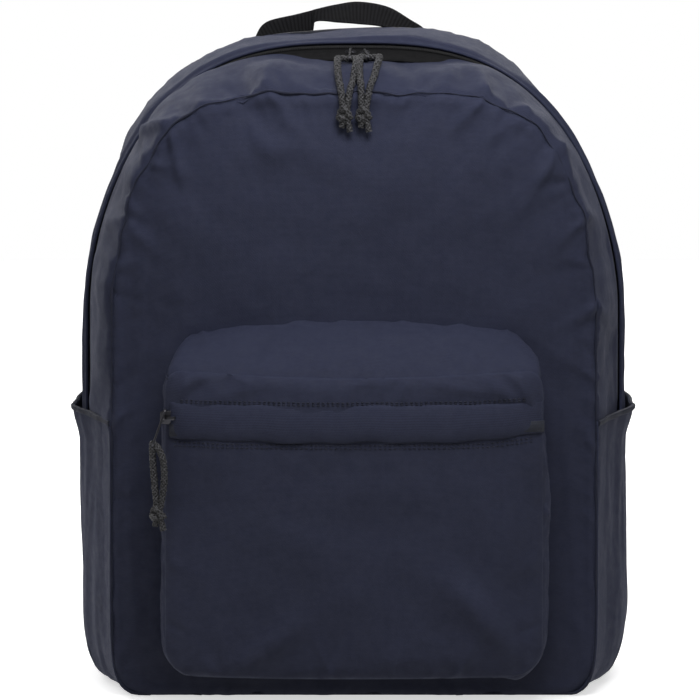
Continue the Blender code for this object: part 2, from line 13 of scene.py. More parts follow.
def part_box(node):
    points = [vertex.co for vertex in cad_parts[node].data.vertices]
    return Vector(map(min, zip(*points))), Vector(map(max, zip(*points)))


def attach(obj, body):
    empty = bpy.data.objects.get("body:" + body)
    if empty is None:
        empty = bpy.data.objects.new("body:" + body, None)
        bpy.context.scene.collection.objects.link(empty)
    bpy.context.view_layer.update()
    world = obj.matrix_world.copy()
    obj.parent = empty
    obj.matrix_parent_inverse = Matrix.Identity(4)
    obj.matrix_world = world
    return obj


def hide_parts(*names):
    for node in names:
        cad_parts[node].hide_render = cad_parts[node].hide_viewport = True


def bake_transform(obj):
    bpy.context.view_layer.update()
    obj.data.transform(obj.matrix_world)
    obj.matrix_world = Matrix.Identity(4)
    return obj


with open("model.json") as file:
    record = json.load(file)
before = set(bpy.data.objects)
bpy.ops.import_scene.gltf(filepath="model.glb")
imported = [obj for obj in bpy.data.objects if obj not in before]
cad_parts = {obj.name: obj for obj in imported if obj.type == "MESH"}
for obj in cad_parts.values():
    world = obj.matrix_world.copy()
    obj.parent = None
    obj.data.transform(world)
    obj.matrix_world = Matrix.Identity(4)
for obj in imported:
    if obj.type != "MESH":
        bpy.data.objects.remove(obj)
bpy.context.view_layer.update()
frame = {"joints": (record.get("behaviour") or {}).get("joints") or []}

JOINTS = {j["name"]: j for j in frame["joints"]}

# ---- sizes taken from the frame ----
ARCH_Z = JOINTS["main_slider_left_travel"]["pos_m"][2]
ZIP_END_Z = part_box("side_panel_left")[1].z
POCKET_FRONT_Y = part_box("pocket_front")[0].y
POCKET_ZIP_Z = JOINTS["pocket_slider_travel"]["pos_m"][2] + 0.0055
POCKET_ARC_R = JOINTS["pocket_slider_travel"]["pos_m"][1] - POCKET_FRONT_Y

# ---- sizes of the cloth ----
SEAM_FRONT = -0.060
SEAM_REAR = 0.060
ARCH_RADIUS = 0.165
GUSSET_DEPTH = 0.054
CLOTH = 0.0012
PANEL_CLOTH = 0.0016
LINED_CLOTH = 0.0018
FLAP_CLOTH = 0.0008
TAPE = 0.0006
FLOOR_GAP = 0.0006

# half width, height over the arch centre, and the powers that round the outline's sides and top
FRONT_RING = (0.1485, 0.1410, 4.7, 1.8)
ZIP_FRONT_RING = (0.1616, 0.1612, 3.0, 1.75)
ZIP_REAR_RING = (0.1648, 0.1632, 2.85, 1.75)
REAR_RING = (0.1650, 0.1620, 2.7, 1.75)
# how the rear seam differs from its even outline: degrees round the arch and metres outwards
REAR_TRIM = (
    (-25, 0.0), (0, -0.0060), (15, -0.0090), (35, -0.0120), (46, -0.0080), (54, 0.0015), (64, 0.0048),
    (78, 0.0030), (100, 0.0004), (117, 0.0020), (127, 0.0046), (137, 0.0036), (146, 0.0),
    (158, -0.0060), (172, -0.0058), (180, -0.0036), (187, 0.0004), (195, 0.0026), (204, 0.0),
)
BOTTOM_REACH = 0.2345
BOTTOM_POWER = 18
LOOP_COUNT = 360
CROWN = 0.0150


# =====================================================================================
# node materials
# =====================================================================================
class Nodes:
    """A short way to write node trees."""

    def __init__(self, name):
        self.material = bpy.data.materials.new(name)
        self.material.use_nodes = True
        self.tree = self.material.node_tree
        self.shader = self.tree.nodes["Principled BSDF"]

    def add(self, kind, **settings):
        node = self.tree.nodes.new(kind)
        for key, value in settings.items():
            setattr(node, key, value)
        return node

    def put(self, socket, value):
        if isinstance(value, bpy.types.NodeSocket):
            self.tree.links.new(value, socket)
        else:
            socket.default_value = value

    def fed(self, kind, values, slots=range(5), **settings):
        """A new node with its inputs set or linked, in order."""
        node = self.add(kind, **settings)
        for slot, value in zip(slots, values):
            self.put(node.inputs[slot], value)
        return node

    def math(self, operation, a, b=0.0, c=0.0):
        return self.fed("ShaderNodeMath", (a, b, c), operation=operation).outputs[0]

    def wave(self, value):
        """Rises from 0 to 1 and back over each whole step of value."""
        return self.math("ABSOLUTE", self.math("SINE", self.math("MULTIPLY", value, math.pi)))

    def mix(self, share, a, b):
        return self.fed("ShaderNodeMix", (share, a, b), (0, 6, 7), data_type="RGBA").outputs[2]

    def ramp(self, value, low, high, to_low=0.0, to_high=1.0):
        return self.fed("ShaderNodeMapRange", (value, low, high, to_low, to_high)).outputs[0]

    def uv(self, scale):
        coordinates = self.add("ShaderNodeTexCoord").outputs["UV"]
        scaled = self.fed("ShaderNodeVectorMath", (coordinates, scale), (0, "Scale"), operation="SCALE")
        split = self.fed("ShaderNodeSeparateXYZ", (scaled.outputs[0],))
        return split.outputs[0], split.outputs[1]

    def noise(self, scale, detail=2.0, roughness=0.5):
        place = self.add("ShaderNodeTexCoord").outputs["Object"]
        slots = ("Vector", "Scale", "Detail", "Roughness")
        return self.fed("ShaderNodeTexNoise", (place, scale, detail, roughness), slots).outputs["Fac"]

    def bump(self, height, distance, strength=1.0, onto=None):
        node = self.fed("ShaderNodeBump", (distance, strength, height), ("Distance", "Strength", "Height"))
        if onto is not None:
            self.put(node.inputs["Normal"], onto)
        return node.outputs[0]

    def worn(self, low=0.52, high=0.62):
        """1 along convex edges."""
        return self.ramp(self.add("ShaderNodeNewGeometry").outputs["Pointiness"], low, high)

    def finish(self, **settings):
        """Sets the shader's inputs, written with _ for a space, and gives the material."""
        for name, value in settings.items():
            self.put(self.shader.inputs[name.replace("_", " ")], value)
        return self.material


def rgb(red, green, blue):
    """A display colour, 0..255 each, as linear light."""
    out = []
    for value in (red, green, blue):
        share = value / 255
        out.append(share / 12.92 if share <= 0.04045 else ((share + 0.055) / 1.055) ** 2.4)
    return (*out, 1.0)


def shade(colour, factor, lift=0.0):
    """A colour made darker or paler."""
    return tuple(min(c * factor + lift, 1.0) for c in colour[:3]) + (1.0,)


def woven(name, colour, light, pitch=0.0007, sheen=0.16, rough=0.82, twill=3.0, depth=0.00012):
    """Cloth whose threads follow the mesh's UV, which is in metres."""
    n = Nodes(name)
    u, v = n.uv(1 / pitch)
    step = n.math("ADD", n.math("FLOOR", u), n.math("FLOOR", v))
    pick = n.math("GREATER_THAN", n.math("FLOORED_MODULO", step, twill), twill / 2 - 0.01)
    over = n.math("MULTIPLY", n.wave(u), pick)
    under = n.math("MULTIPLY", n.wave(v), n.math("SUBTRACT", 1.0, pick))
    height = n.math("ADD", over, under)
    thread_length = n.math("FLOOR", n.math("MULTIPLY", u, 0.34))
    cell = n.fed("ShaderNodeCombineXYZ", (thread_length, n.math("FLOOR", v)))
    thread = n.fed("ShaderNodeTexWhiteNoise", (cell.outputs[0],), noise_dimensions="2D")
    tone = n.math("MULTIPLY", height, n.ramp(thread.outputs[0], 0.0, 1.0, 0.75, 1.0))
    body = n.mix(n.ramp(tone, 0.0, 1.0, 0.0, 0.55), colour, light)
    body = n.mix(n.ramp(n.noise(9.0, 3.0, 0.6), 0.35, 0.70, 0.0, 0.10), body, light)
    dark_patch = n.ramp(n.noise(26.0, 4.0, 0.65), 0.42, 0.30, 0.0, 0.14)
    body = n.mix(dark_patch, body, shade(colour, 0.55))
    body = n.mix(n.math("MULTIPLY", n.worn(), 0.35), body, light)
    soft = n.bump(n.noise(70.0, 4.0, 0.6), 0.0012, 0.28)
    return n.finish(
        Base_Color=body,
        Roughness=n.ramp(n.noise(180.0), 0.3, 0.7, rough - 0.08, rough + 0.06),
        Sheen_Weight=sheen,
        Sheen_Roughness=0.45,
        Sheen_Tint=light,
        Specular_IOR_Level=0.25,
        Normal=n.bump(height, depth, 0.75, soft),
    )


def webbing(name, colour, light, pitch=0.0022):
    """Ribbed webbing: ribs run across, along the UV's first direction, with a herringbone grain."""
    n = Nodes(name)
    u, v = n.uv(1 / pitch)
    lean = n.math("ADD", n.math("MULTIPLY", u, 2.0), n.math("ABSOLUTE", n.math("MULTIPLY", v, 1.4)))
    ribs = n.math("MULTIPLY", n.wave(u), 0.7)
    height = n.math("ADD", ribs, n.math("MULTIPLY", n.wave(lean), 0.3))
    body = n.mix(n.ramp(height, 0.1, 1.0, 0.0, 0.7), colour, light)
    return n.finish(
        Base_Color=n.mix(n.math("MULTIPLY", n.worn(), 0.5), body, light),
        Roughness=n.ramp(n.noise(240.0), 0.3, 0.7, 0.62, 0.80),
        Sheen_Weight=0.03,
        Specular_IOR_Level=0.08,
        Normal=n.bump(height, 0.0004, 0.8),
    )


def braid(name, colour, light):
    """A round braided cord; UV runs round (x) and along (y), both in metres."""
    n = Nodes(name)
    u, v = n.uv(1 / 0.0022)
    height = n.math("MAXIMUM", n.wave(n.math("ADD", u, v)), n.wave(n.math("SUBTRACT", u, v)))
    return n.finish(
        Base_Color=n.mix(n.ramp(height, 0.80, 1.0, 0.0, 1.0), colour, light),
        Roughness=0.72,
        Sheen_Weight=0.05,
        Normal=n.bump(height, 0.0005, 0.9),
    )


def spacer_mesh(name, colour, light):
    """Knitted air mesh with small round cells."""
    n = Nodes(name)
    place = n.add("ShaderNodeTexCoord").outputs["UV"]
    cells = n.fed("ShaderNodeTexVoronoi", (place, 330.0, 0.12), ("Vector", "Scale", "Randomness"))
    hole = n.ramp(cells.outputs["Distance"], 0.18, 0.42)
    return n.finish(
        Base_Color=n.mix(hole, colour, light),
        Roughness=0.85,
        Sheen_Weight=0.3,
        Normal=n.bump(hole, 0.0006, 0.9),
    )


def metal(name, colour, rough):
    """Plated metal with fine scratches and paler, worn edges."""
    n = Nodes(name)
    scratch = n.noise(900.0, 6.0, 0.7)
    return n.finish(
        Base_Color=n.mix(n.worn(0.505, 0.56), colour, shade(colour, 2.2)),
        Metallic=1.0,
        Roughness=n.ramp(scratch, 0.3, 0.7, rough - 0.08, rough + 0.12),
        Normal=n.bump(scratch, 0.00004, 0.4),
    )


def plastic(name, colour, rough=0.46):
    """Moulded plastic with a fine spark texture."""
    n = Nodes(name)
    grain = n.noise(1500.0, 3.0, 0.6)
    return n.finish(
        Base_Color=n.mix(n.math("MULTIPLY", n.worn(), 0.5), colour, shade(colour, 2.5, 0.01)),
        Roughness=n.ramp(grain, 0.3, 0.7, rough - 0.08, rough + 0.09),
        Normal=n.bump(grain, 0.00005, 0.5),
    )


LOOKS = {
    "navy": woven("navy_cloth", rgb(37, 40, 58), rgb(61, 66, 92)),
    "lining": woven("lining_cloth", rgb(30, 32, 40), rgb(52, 55, 66), 0.0007, 0.1, 0.75, 2.0, 0.0001),
    # zip tape: black cloth, made darker still as painted shade where it lies deep in the zip gaps
    "tape": woven("zip_tape_cloth_painted_gap_shade", rgb(6, 6, 8), rgb(15, 15, 18), 0.0007, 0.03, 0.85, 3.0, 0.0001),
    "binding": woven("binding_cloth", rgb(22, 24, 35), rgb(38, 41, 58), 0.0008, 0.2, 0.8, 2.0),
    "webbing": webbing("black_webbing", rgb(9, 9, 10), rgb(36, 36, 39)),
    "cord": braid("braided_cord", rgb(8, 8, 9), rgb(74, 74, 78)),
    "mesh": spacer_mesh("back_spacer_mesh", rgb(12, 12, 15), rgb(38, 39, 48)),
    "metal": metal("gunmetal_plate", rgb(44, 44, 47), 0.36),
    # zip coil: black plastic, made darker still as painted shade where it lies deep in the zip gaps
    "coil": plastic("coil_plastic_painted_gap_shade", rgb(4, 4, 6), 0.85),
    "plastic": plastic("black_plastic", rgb(24, 24, 27)),
    # turned seam cloth, darker than the navy so that the seam lines carry painted shade of their creases
    "seam": woven("seam_cloth_painted_crease_shade", rgb(30, 32, 47), rgb(50, 54, 74), 0.0006, 0.1, 0.85, 2.0, 0.0001),
    "thread": woven("stitch_thread", rgb(24, 26, 37), rgb(60, 63, 82), 0.0004, 0.3, 0.7, 2.0, 0.0001),
}


# =====================================================================================
# mesh helpers
# =====================================================================================
INSIDE_BAG = (0.0, 0.0, 0.2)
INSIDE_POCKET = (0.0, -0.085, 0.11)


def link(name, mesh, look):
    mesh.materials.append(LOOKS[look])
    made = bpy.data.objects.new(name, mesh)
    bpy.context.scene.collection.objects.link(made)
    mesh.shade_smooth()
    return made


def settle(made, body, *nodes):
    """Puts a piece in place of CAD nodes and on a body; body None is for cloth over the mouth's fold."""
    if nodes:
        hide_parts(*nodes)
    if body:
        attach(made, body)
    else:
        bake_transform(made)


def faces_inwards(points, inside):
    """True when the sheet's faces look towards the inside point."""
    normal = np.cross(points[1:, :-1] - points[:-1, :-1], points[:-1, 1:] - points[:-1, :-1])
    return np.sum(normal * (points[:-1, :-1] - np.array(inside))) < 0


def grid_mesh(name, points, uv, look, loop_u=False, loop_v=False, inside=None, outwards=True):
    """A quad sheet over points[i, j], with a UV pair in metres for each."""
    rows, cols = points.shape[:2]
    flip = inside is not None and faces_inwards(points, inside) == outwards
    faces = []
    uvs = []
    for i in range(rows - (0 if loop_u else 1)):
        for j in range(cols - (0 if loop_v else 1)):
            ring = [(i, j), (i + 1, j), (i + 1, j + 1), (i, j + 1)]
            if flip:
                ring = ring[::-1]
            faces.append([(a % rows) * cols + (b % cols) for a, b in ring])
            uvs += [uv(a, b) if callable(uv) else uv[a, b] for a, b in ring]
    return meshed(name, points.reshape(-1, 3).tolist(), faces, uvs, look)


def meshed(name, verts, faces, uvs, look):
    mesh = bpy.data.meshes.new(name)
    mesh.from_pydata(verts, [], faces)
    layer = mesh.uv_layers.new(name="UVMap")
    layer.data.foreach_set("uv", np.array(uvs, np.float32).reshape(-1))
    return link(name, mesh, look)


def thicken(made, thickness=CLOTH, inner=None):
    """Gives a sheet its cloth thickness, behind the side that faces out."""
    step = made.modifiers.new("cloth_thickness", "SOLIDIFY")
    step.thickness = thickness
    step.offset = -1.0
    if inner:
        made.data.materials.append(LOOKS[inner])
        step.material_offset = 1


def smooth(share):
    share = np.clip(share, 0.0, 1.0)
    return share * share * (3 - 2 * share)


def bell(distance, width):
    return np.exp(-((distance / width) ** 2))


def unit(vectors):
    return vectors / np.linalg.norm(vectors, axis=1, keepdims=True)


def travel_of(path):
    """Length along a path up to each of its points."""
    return np.concatenate([[0], np.cumsum(np.linalg.norm(np.diff(path, axis=0), axis=1))])


def along_path(path, travel, at):
    return np.stack([np.interp(at, travel, column) for column in np.asarray(path).T], axis=-1)


def rumple(points, scale, octaves=3, seed=0.0):
    """Smooth noise, about -1 to 1, at each point of an array of points."""
    shift = Vector((seed, seed * 1.7, -seed))
    flat = points.reshape(-1, 3).tolist()
    out = [noise.fractal(Vector(p) * scale + shift, 1.0, 2.0, octaves) for p in flat]
    return np.array(out).reshape(points.shape[:-1])


def ribbon(name, centres, across, width, thickness, look, segments=6):
    """A strap: a thin closed section swept along centres, with softly rounded edges."""
    centres = np.array(centres, float)
    across = unit(np.array(across, float))
    normal = unit(np.cross(unit(np.gradient(centres, axis=0)), across))
    spots = np.linspace(-1, 1, segments + 1)
    heights = thickness / 2 * (1 - 0.35 * np.abs(spots) ** 6)
    section = list(zip(spots, heights)) + list(zip(spots[::-1], -heights[::-1]))
    widths = np.broadcast_to(np.asarray(width, float), (len(centres),))
    travel = travel_of(centres)
    rings = np.zeros((len(centres), len(section), 3))
    for j, (x, h) in enumerate(section):
        rings[:, j] = centres + across * (x * widths[:, None] / 2) + normal * h
    uv = lambda a, b: (travel[a], section[b % len(section)][0] * widths[a] / 2)
    made = grid_mesh(name, rings, uv, look, loop_v=True)
    cap_ends(made, len(centres), len(section))
    return made


def cap_ends(made, rings, sides):
    """Closes both ends of a swept grid and turns its faces outwards."""
    work = bmesh.new()
    work.from_mesh(made.data)
    work.verts.ensure_lookup_table()
    for start in (0, (rings - 1) * sides):
        work.faces.new([work.verts[start + k] for k in range(sides)])
    bmesh.ops.recalc_face_normals(work, faces=work.faces)
    work.to_mesh(made.data)
    work.free()
    made.data.shade_smooth()
    made.data.set_sharp_from_angle(angle=math.radians(50))


def spline(points, count):
    """A smooth curve through points (Catmull-Rom), resampled evenly to count points."""
    p = np.array(points, float)
    p = np.vstack([2 * p[0] - p[1], p, 2 * p[-1] - p[-2]])
    dense = []
    for a, b, c, d in zip(p, p[1:], p[2:], p[3:]):
        for t in np.linspace(0, 1, 24, endpoint=False):
            square = (2 * a - 5 * b + 4 * c - d) * t**2
            cube = (3 * b - a - 3 * c + d) * t**3
            dense.append(0.5 * (2 * b + (c - a) * t + square + cube))
    dense.append(p[-2])
    travel = travel_of(dense)
    return along_path(dense, travel, np.linspace(0, travel[-1], count))


def tube(name, path, radius, look, sides=8, closed=False):
    """A round cord along a path, with UV in metres round and along it."""
    path = np.array(path, float)
    count = len(path)
    along = unit(np.roll(path, -1, 0) - np.roll(path, 1, 0) if closed else np.gradient(path, axis=0))
    side = np.cross(along[0], (0.3, 0.9, 0.2))
    radius = np.broadcast_to(np.asarray(radius, float), (count,))
    rings = np.zeros((count, sides, 3))
    for i in range(count):
        side = side - along[i] * np.dot(side, along[i])
        side /= np.linalg.norm(side)
        other = np.cross(along[i], side)
        for k in range(sides):
            turn = math.tau * k / sides
            rings[i, k] = path[i] + (side * math.cos(turn) + other * math.sin(turn)) * radius[i]
    travel = travel_of(path)
    travel = np.append(travel, 2 * travel[-1] - travel[-2])
    girth = math.tau * radius[0] / sides
    made = grid_mesh(name, rings, lambda a, b: (b * girth, travel[a]), look, closed, True)
    if not closed:
        cap_ends(made, count, sides)
    return made


def join(name, parts):
    """Makes one object of several, keeping their materials and UVs."""
    bpy.ops.object.select_all(action="DESELECT")
    for part in parts:
        part.select_set(True)
    bpy.context.view_layer.objects.active = parts[0]
    bpy.ops.object.join()
    parts[0].name = name
    parts[0].data.name = name
    return parts[0]


def laid_on(path, cloths, direction):
    """Moves points along a direction until they lie on the cloth."""
    trees = []
    for cloth in cloths:
        corners = [v.co for v in cloth.data.vertices]
        trees.append(BVHTree.FromPolygons(corners, [tuple(p.vertices) for p in cloth.data.polygons]))
    direction = Vector(direction).normalized()
    out = []
    for p in path:
        start = Vector(p) - direction * 0.030
        hits = [tree.ray_cast(start, direction, 0.060) for tree in trees]
        found = [hit[3] for hit in hits if hit[0] is not None]
        out.append(start + direction * min(found) if found else Vector(p))
    return np.array([tuple(p) for p in out])


STITCH_PITCH = 0.0030
STITCH_LENGTH = 0.0022
STITCH_RADIUS = 0.00042
# share of the stitch's length, and lift and thickness as shares of its radius
STITCH_SHAPE = ((-0.5, -0.6, 0.5), (-0.25, 0.55, 1.0), (0.25, 0.55, 1.0), (0.5, -0.6, 0.5))


def stitches(name, path, normal):
    """A row of stitches: short threads that dip into the cloth at both ends."""
    path = np.array(path, float)
    n = np.array(normal, float)
    travel = travel_of(path)
    verts, faces = [], []
    for i in range(max(int(travel[-1] / STITCH_PITCH), 1)):
        base = len(verts)
        for along, lift, size in STITCH_SHAPE:
            at = (i + 0.5) * STITCH_PITCH + along * STITCH_LENGTH
            p = along_path(path, travel, at)
            t = along_path(path, travel, at + 1e-4) - p
            t /= max(np.linalg.norm(t), 1e-12)
            s = np.cross(t, n)
            for a, b in ((1, 0), (0, 1), (-1, 0), (0, -1)):
                verts.append(p + (n * (lift + b * size) + s * (a * size)) * STITCH_RADIUS)
        for ring in range(3):
            for k in range(4):
                a = base + ring * 4 + k
                b = base + ring * 4 + (k + 1) % 4
                faces.append((a, b, b + 4, a + 4))
        faces.append((base + 3, base + 2, base + 1, base))
        faces.append((base + 12, base + 13, base + 14, base + 15))
    uvs = [(verts[k][0] + verts[k][1], verts[k][2]) for f in faces for k in f]
    return meshed(name, [v.tolist() for v in verts], faces, uvs, "thread")


# =====================================================================================
# outline of the bag
# =====================================================================================
def reach_out(inside, like, far, steps):
    """The largest distances up to far, in an array shaped like another, where inside(distance) holds."""
    near, far = np.zeros_like(like), np.full_like(like, far)
    for _ in range(steps):
        mid = (near + far) / 2
        within = inside(mid)
        near, far = np.where(within, mid, near), np.where(within, far, mid)
    return near


def ring_reach(angles, ring, lift=0.0):
    """Distance from the arch centre to the outline, at each angle."""
    half, high, side_power, top_power = ring
    c, s = np.abs(np.cos(angles)), np.sin(angles)

    def inside(mid):
        top = (mid * c / half) ** side_power + (mid * np.abs(s) / high) ** top_power
        bottom = (mid * c / half) ** BOTTOM_POWER + (mid * np.abs(s) / BOTTOM_REACH) ** BOTTOM_POWER
        return np.where(s > 0, top, bottom) < 1

    near = reach_out(inside, angles, 0.6, 44)
    floor = (ARCH_Z - lift) / np.maximum(-s, 1e-6)
    if ring is FRONT_RING:
        near = near + seam_wander(angles)
    if ring is REAR_RING:
        turned = np.degrees(np.mod(angles + math.pi / 2, math.tau)) - 90
        near = near + np.interp(turned, *zip(*REAR_TRIM))
    return np.where(s < 0, np.minimum(near, floor), near)


def seam_wander(angles):
    """How far the front seam strays from its even outline over the top and the shoulders."""
    waves = 0.0009 * np.sin(17 * angles + 0.6) + 0.0006 * np.sin(29 * angles + 2.0)
    waves = waves + 0.0004 * np.sin(51 * angles + 4.0)
    return waves * smooth((np.sin(angles) + 0.05) / 0.40)


def loop_angles():
    """Angles that walk the outline at an even pace, from the middle of the bottom, anticlockwise."""
    dense = np.linspace(-math.pi / 2, 1.5 * math.pi, 4001)
    reach = ring_reach(dense, REAR_RING)
    travel = travel_of(np.stack([reach * np.cos(dense), reach * np.sin(dense)], 1))
    at = np.linspace(0, travel[-1], LOOP_COUNT, endpoint=False)
    return np.interp(at, travel, dense), travel[-1]


LOOP, GIRTH = loop_angles()
OUTWARDS = np.stack([np.cos(LOOP), np.zeros(LOOP_COUNT), np.sin(LOOP)], axis=1)


def ring_points(ring, y, inset=0.0, lift=0.0):
    reach = ring_reach(LOOP, ring, lift) - inset
    return np.stack([reach * np.cos(LOOP), np.broadcast_to(y, LOOP.shape), ARCH_Z + reach * np.sin(LOOP)], 1)


def disc_in_ring(line, spread, middle, ring, lift=0.0):
    """A square grid pressed into an outline; returns x, z and the share out to the rim."""
    s, t = np.meshgrid(line, line, indexing="ij")
    u = s * np.sqrt(1 - t * t / 2)
    v = t * np.sqrt(1 - s * s / 2)
    share = np.hypot(u, v)
    angle = np.arctan2(v * spread[1], u * spread[0])
    x0, z0 = np.cos(angle), np.sin(angle)

    def inside(mid):
        x, z = mid * x0, middle + mid * z0 - ARCH_Z
        return np.hypot(x, z) < ring_reach(np.arctan2(z, x), ring, lift)

    reach = reach_out(inside, angle, 0.5, 40) * share
    return reach * x0, middle + reach * z0, share


# =====================================================================================
# folds
# =====================================================================================
def seam_tucks(along, depth, seed):
    """Short folds that run away from a seam; both cloths at a seam share their places."""
    out = np.zeros(np.broadcast(along, depth).shape)
    random = np.random.default_rng(seed)
    for _ in range(64):
        place = random.uniform(-0.26, 0.78)
        width = random.uniform(0.0018, 0.0055)
        reach = random.uniform(0.005, 0.020)
        slant = random.uniform(-0.7, 0.7)
        height = random.uniform(0.0005, 0.0022) * random.choice((-1, 1))
        out = out + height * np.exp(-(((along - place - slant * depth) / width) ** 2) - depth / reach)
    return out


# angle in degrees, slant, width, reach and height of the larger folds that cross the front seam
SHOULDER_FOLDS = (
    (133, 0.55, 0.0032, 0.050, 0.0042), (129, 0.30, 0.0050, 0.030, -0.0030),
    (142, -0.30, 0.0040, 0.035, 0.0030), (150, 0.20, 0.0034, 0.026, -0.0022),
    (156, 0.30, 0.0040, 0.040, 0.0026), (116, -0.10, 0.0085, 0.055, -0.0030),
    (110, -0.25, 0.0055, 0.050, 0.0034), (103, 0.40, 0.0040, 0.024, 0.0020),
    (97, 0.10, 0.0060, 0.030, -0.0018), (74, 0.25, 0.0050, 0.032, -0.0028),
    (70, -0.20, 0.0050, 0.036, 0.0030), (60, 0.30, 0.0045, 0.040, 0.0032),
    (55, -0.35, 0.0042, 0.040, -0.0034), (51, 0.20, 0.0050, 0.036, 0.0034),
    (41, -0.30, 0.0036, 0.030, 0.0024), (33, 0.35, 0.0040, 0.034, -0.0024),
    (24, -0.20, 0.0036, 0.036, 0.0026), (14, 0.25, 0.0045, 0.040, 0.0020),
    (167, -0.30, 0.0045, 0.036, 0.0020),
)


def shoulder_folds(angle, depth):
    """Folds gathered at the front seam, flattened where the stitching pinches them."""
    out = np.zeros(np.broadcast(angle, depth).shape)
    for place, slant, width, reach, height in SHOULDER_FOLDS:
        aside = (angle - math.radians(place)) * ARCH_RADIUS - slant * depth
        spread = width * (0.7 + depth / reach)
        out = out + height * np.exp(-((aside / spread) ** 2) - (depth / reach) ** 2)
    return out * (0.25 + 0.75 * smooth(depth / 0.006)) * (1 - 0.8 * smooth((depth - 0.028) / 0.020))


def seam_pucker(along, depth_share, strength=0.00035, pitch=0.0085):
    """Small gathers beside a seam; depth_share is 0 at the seam."""
    beat = np.sin(along * math.tau / pitch + 1.7 * np.sin(along * 37.0))
    return strength * beat * bell(depth_share, 0.16)


def soft_folds(x, z, folds):
    """Long low ridges and hollows over a flat cloth."""
    out = np.zeros_like(x)
    for fold_x, fold_z, lean, length, width, height in folds:
        off_x, off_z = x - fold_x, z - fold_z
        forth = off_x * math.cos(lean) + off_z * math.sin(lean)
        aside = off_z * math.cos(lean) - off_x * math.sin(lean)
        out = out + height * bell(forth, length) * bell(aside, width)
    return out


# =====================================================================================
# main bag
# =====================================================================================
def zip_gap():
    """Half of the gap between the gussets: narrow over the shoulders, wider down the sides."""
    z = ring_points(ZIP_REAR_RING, 0.0)[:, 2]
    opened = smooth((z - ZIP_END_Z + 0.004) / 0.012)
    return (0.0011 + 0.0036 * smooth((0.330 - z) / 0.075)) * opened


def gusset_relief(grid, share, side, bulge, seed):
    """How far a gusset stands out: its fullness, tucks, folds and rumples, less its rolled seam."""
    rear = side > 0
    across, z = share[:, None], grid[..., 2]
    along = np.linspace(0, GIRTH, LOOP_COUNT, endpoint=False)[None]
    swell = np.sin(math.pi * across) ** 0.7
    tucks = seam_tucks(LOOP[None] * ARCH_RADIUS, across * GUSSET_DEPTH, 7 + side)
    rough = rumple(grid, 16.0, 3, seed) * (0.0026 if rear else 0.0040)
    rough = rough + rumple(grid * (1, 0.5, 1), 46.0, 2, seed + 5) * 0.0009
    rough = rough * smooth(across / 0.10) * smooth((1 - across) / 0.14)
    dip = 0.0018 * bell(across, 0.030)
    if rear:
        swell = swell * (0.25 + 0.75 * smooth((z - 0.300) / 0.050))
        tucks = tucks * 0.3
        dip = dip + 0.0015 * (bell(across - 0.84, 0.020) - 1.1 * bell(across - 0.91, 0.030))
        sag = 0.0
    else:
        tucks = tucks + shoulder_folds(LOOP[None], across * GUSSET_DEPTH)
        sag = 0.0058 * np.exp(-np.abs((grid[..., 0] - 0.009) / 0.066) ** 2.4) * (z > ARCH_Z)
    free = 0.25 + 0.75 * smooth((z - 0.150) / 0.030)
    relief = (bulge * swell + seam_pucker(along, across) + tucks + rough) * free - dip
    return relief * smooth((z - 0.004) / 0.02) - sag * smooth((across - 0.25) / 0.7)


def gusset(name, seam_ring, seam_y, zip_ring, side, bulge, lift, seed):
    """The strip of cloth between a seam at the front or back and the zip, all round the bag."""
    rows = 34
    seam = ring_points(seam_ring, seam_y, lift=lift)
    edge = ring_points(zip_ring, side * zip_gap())
    share = smooth(np.linspace(0, 1, rows)) * 0.75 + np.linspace(0, 1, rows) * 0.25
    grid = seam[None] + (edge - seam)[None] * share[:, None, None]
    grid = grid + OUTWARDS[None] * gusset_relief(grid, share, side, bulge, seed)[..., None]
    grid[..., 2] = np.maximum(grid[..., 2], FLOOR_GAP)
    uv = lambda a, b: (GIRTH * b / LOOP_COUNT, side * share[a] * abs(seam_y))
    made = grid_mesh(name, grid, uv, "navy", loop_v=True, inside=INSIDE_BAG)
    thicken(made, LINED_CLOTH, "lining")
    return made, grid


def build_gussets():
    front, front_grid = gusset(
        "front_gusset_cloth", FRONT_RING, SEAM_FRONT, ZIP_FRONT_RING, -1, 0.0028, -0.003, 1.0
    )
    settle(front, None, "front_gusset", "front_gusset_foot_left", "front_gusset_foot_right")
    rear, _ = gusset("rear_gusset_cloth", REAR_RING, SEAM_REAR, ZIP_REAR_RING, 1, 0.0024, 0.0, 12.0)
    settle(rear, "bag", "rear_gusset", "side_panel_left", "side_panel_right", "bottom_panel")
    return front_grid


# x, z, lean, length, width and height of the panel's larger soft folds
PANEL_FOLDS = (
    (-0.055, 0.3440, -0.9, 0.0140, 0.0060, 0.0022),
    (-0.043, 0.3400, 0.3, 0.0160, 0.0070, 0.0016),
    (-0.098, 0.3500, -0.8, 0.0100, 0.0045, 0.0018),
    (-0.020, 0.3350, -0.4, 0.0300, 0.0120, 0.0014),
    (0.088, 0.3560, -2.0, 0.0120, 0.0050, 0.0016),
    (0.060, 0.3480, -1.3, 0.0200, 0.0080, -0.0016),
    (0.118, 0.3250, -2.3, 0.0220, 0.0060, 0.0015),
    (0.030, 0.3200, 0.2, 0.0500, 0.0200, 0.0016),
    (-0.110, 0.2600, 1.4, 0.0500, 0.0140, 0.0018),
    (0.115, 0.2300, 1.5, 0.0600, 0.0160, 0.0018),
)


def crown_y(x, z):
    """Depth of the bowed front panel at x, z."""
    reach = ring_reach(np.arctan2(z - ARCH_Z, x), FRONT_RING)
    share = np.clip(np.hypot(x, z - ARCH_Z) / reach, 0, 1)
    power = 2.1 + 2.1 * smooth((z - ARCH_Z) / 0.080)
    return SEAM_FRONT - CROWN * (1 - share**power)


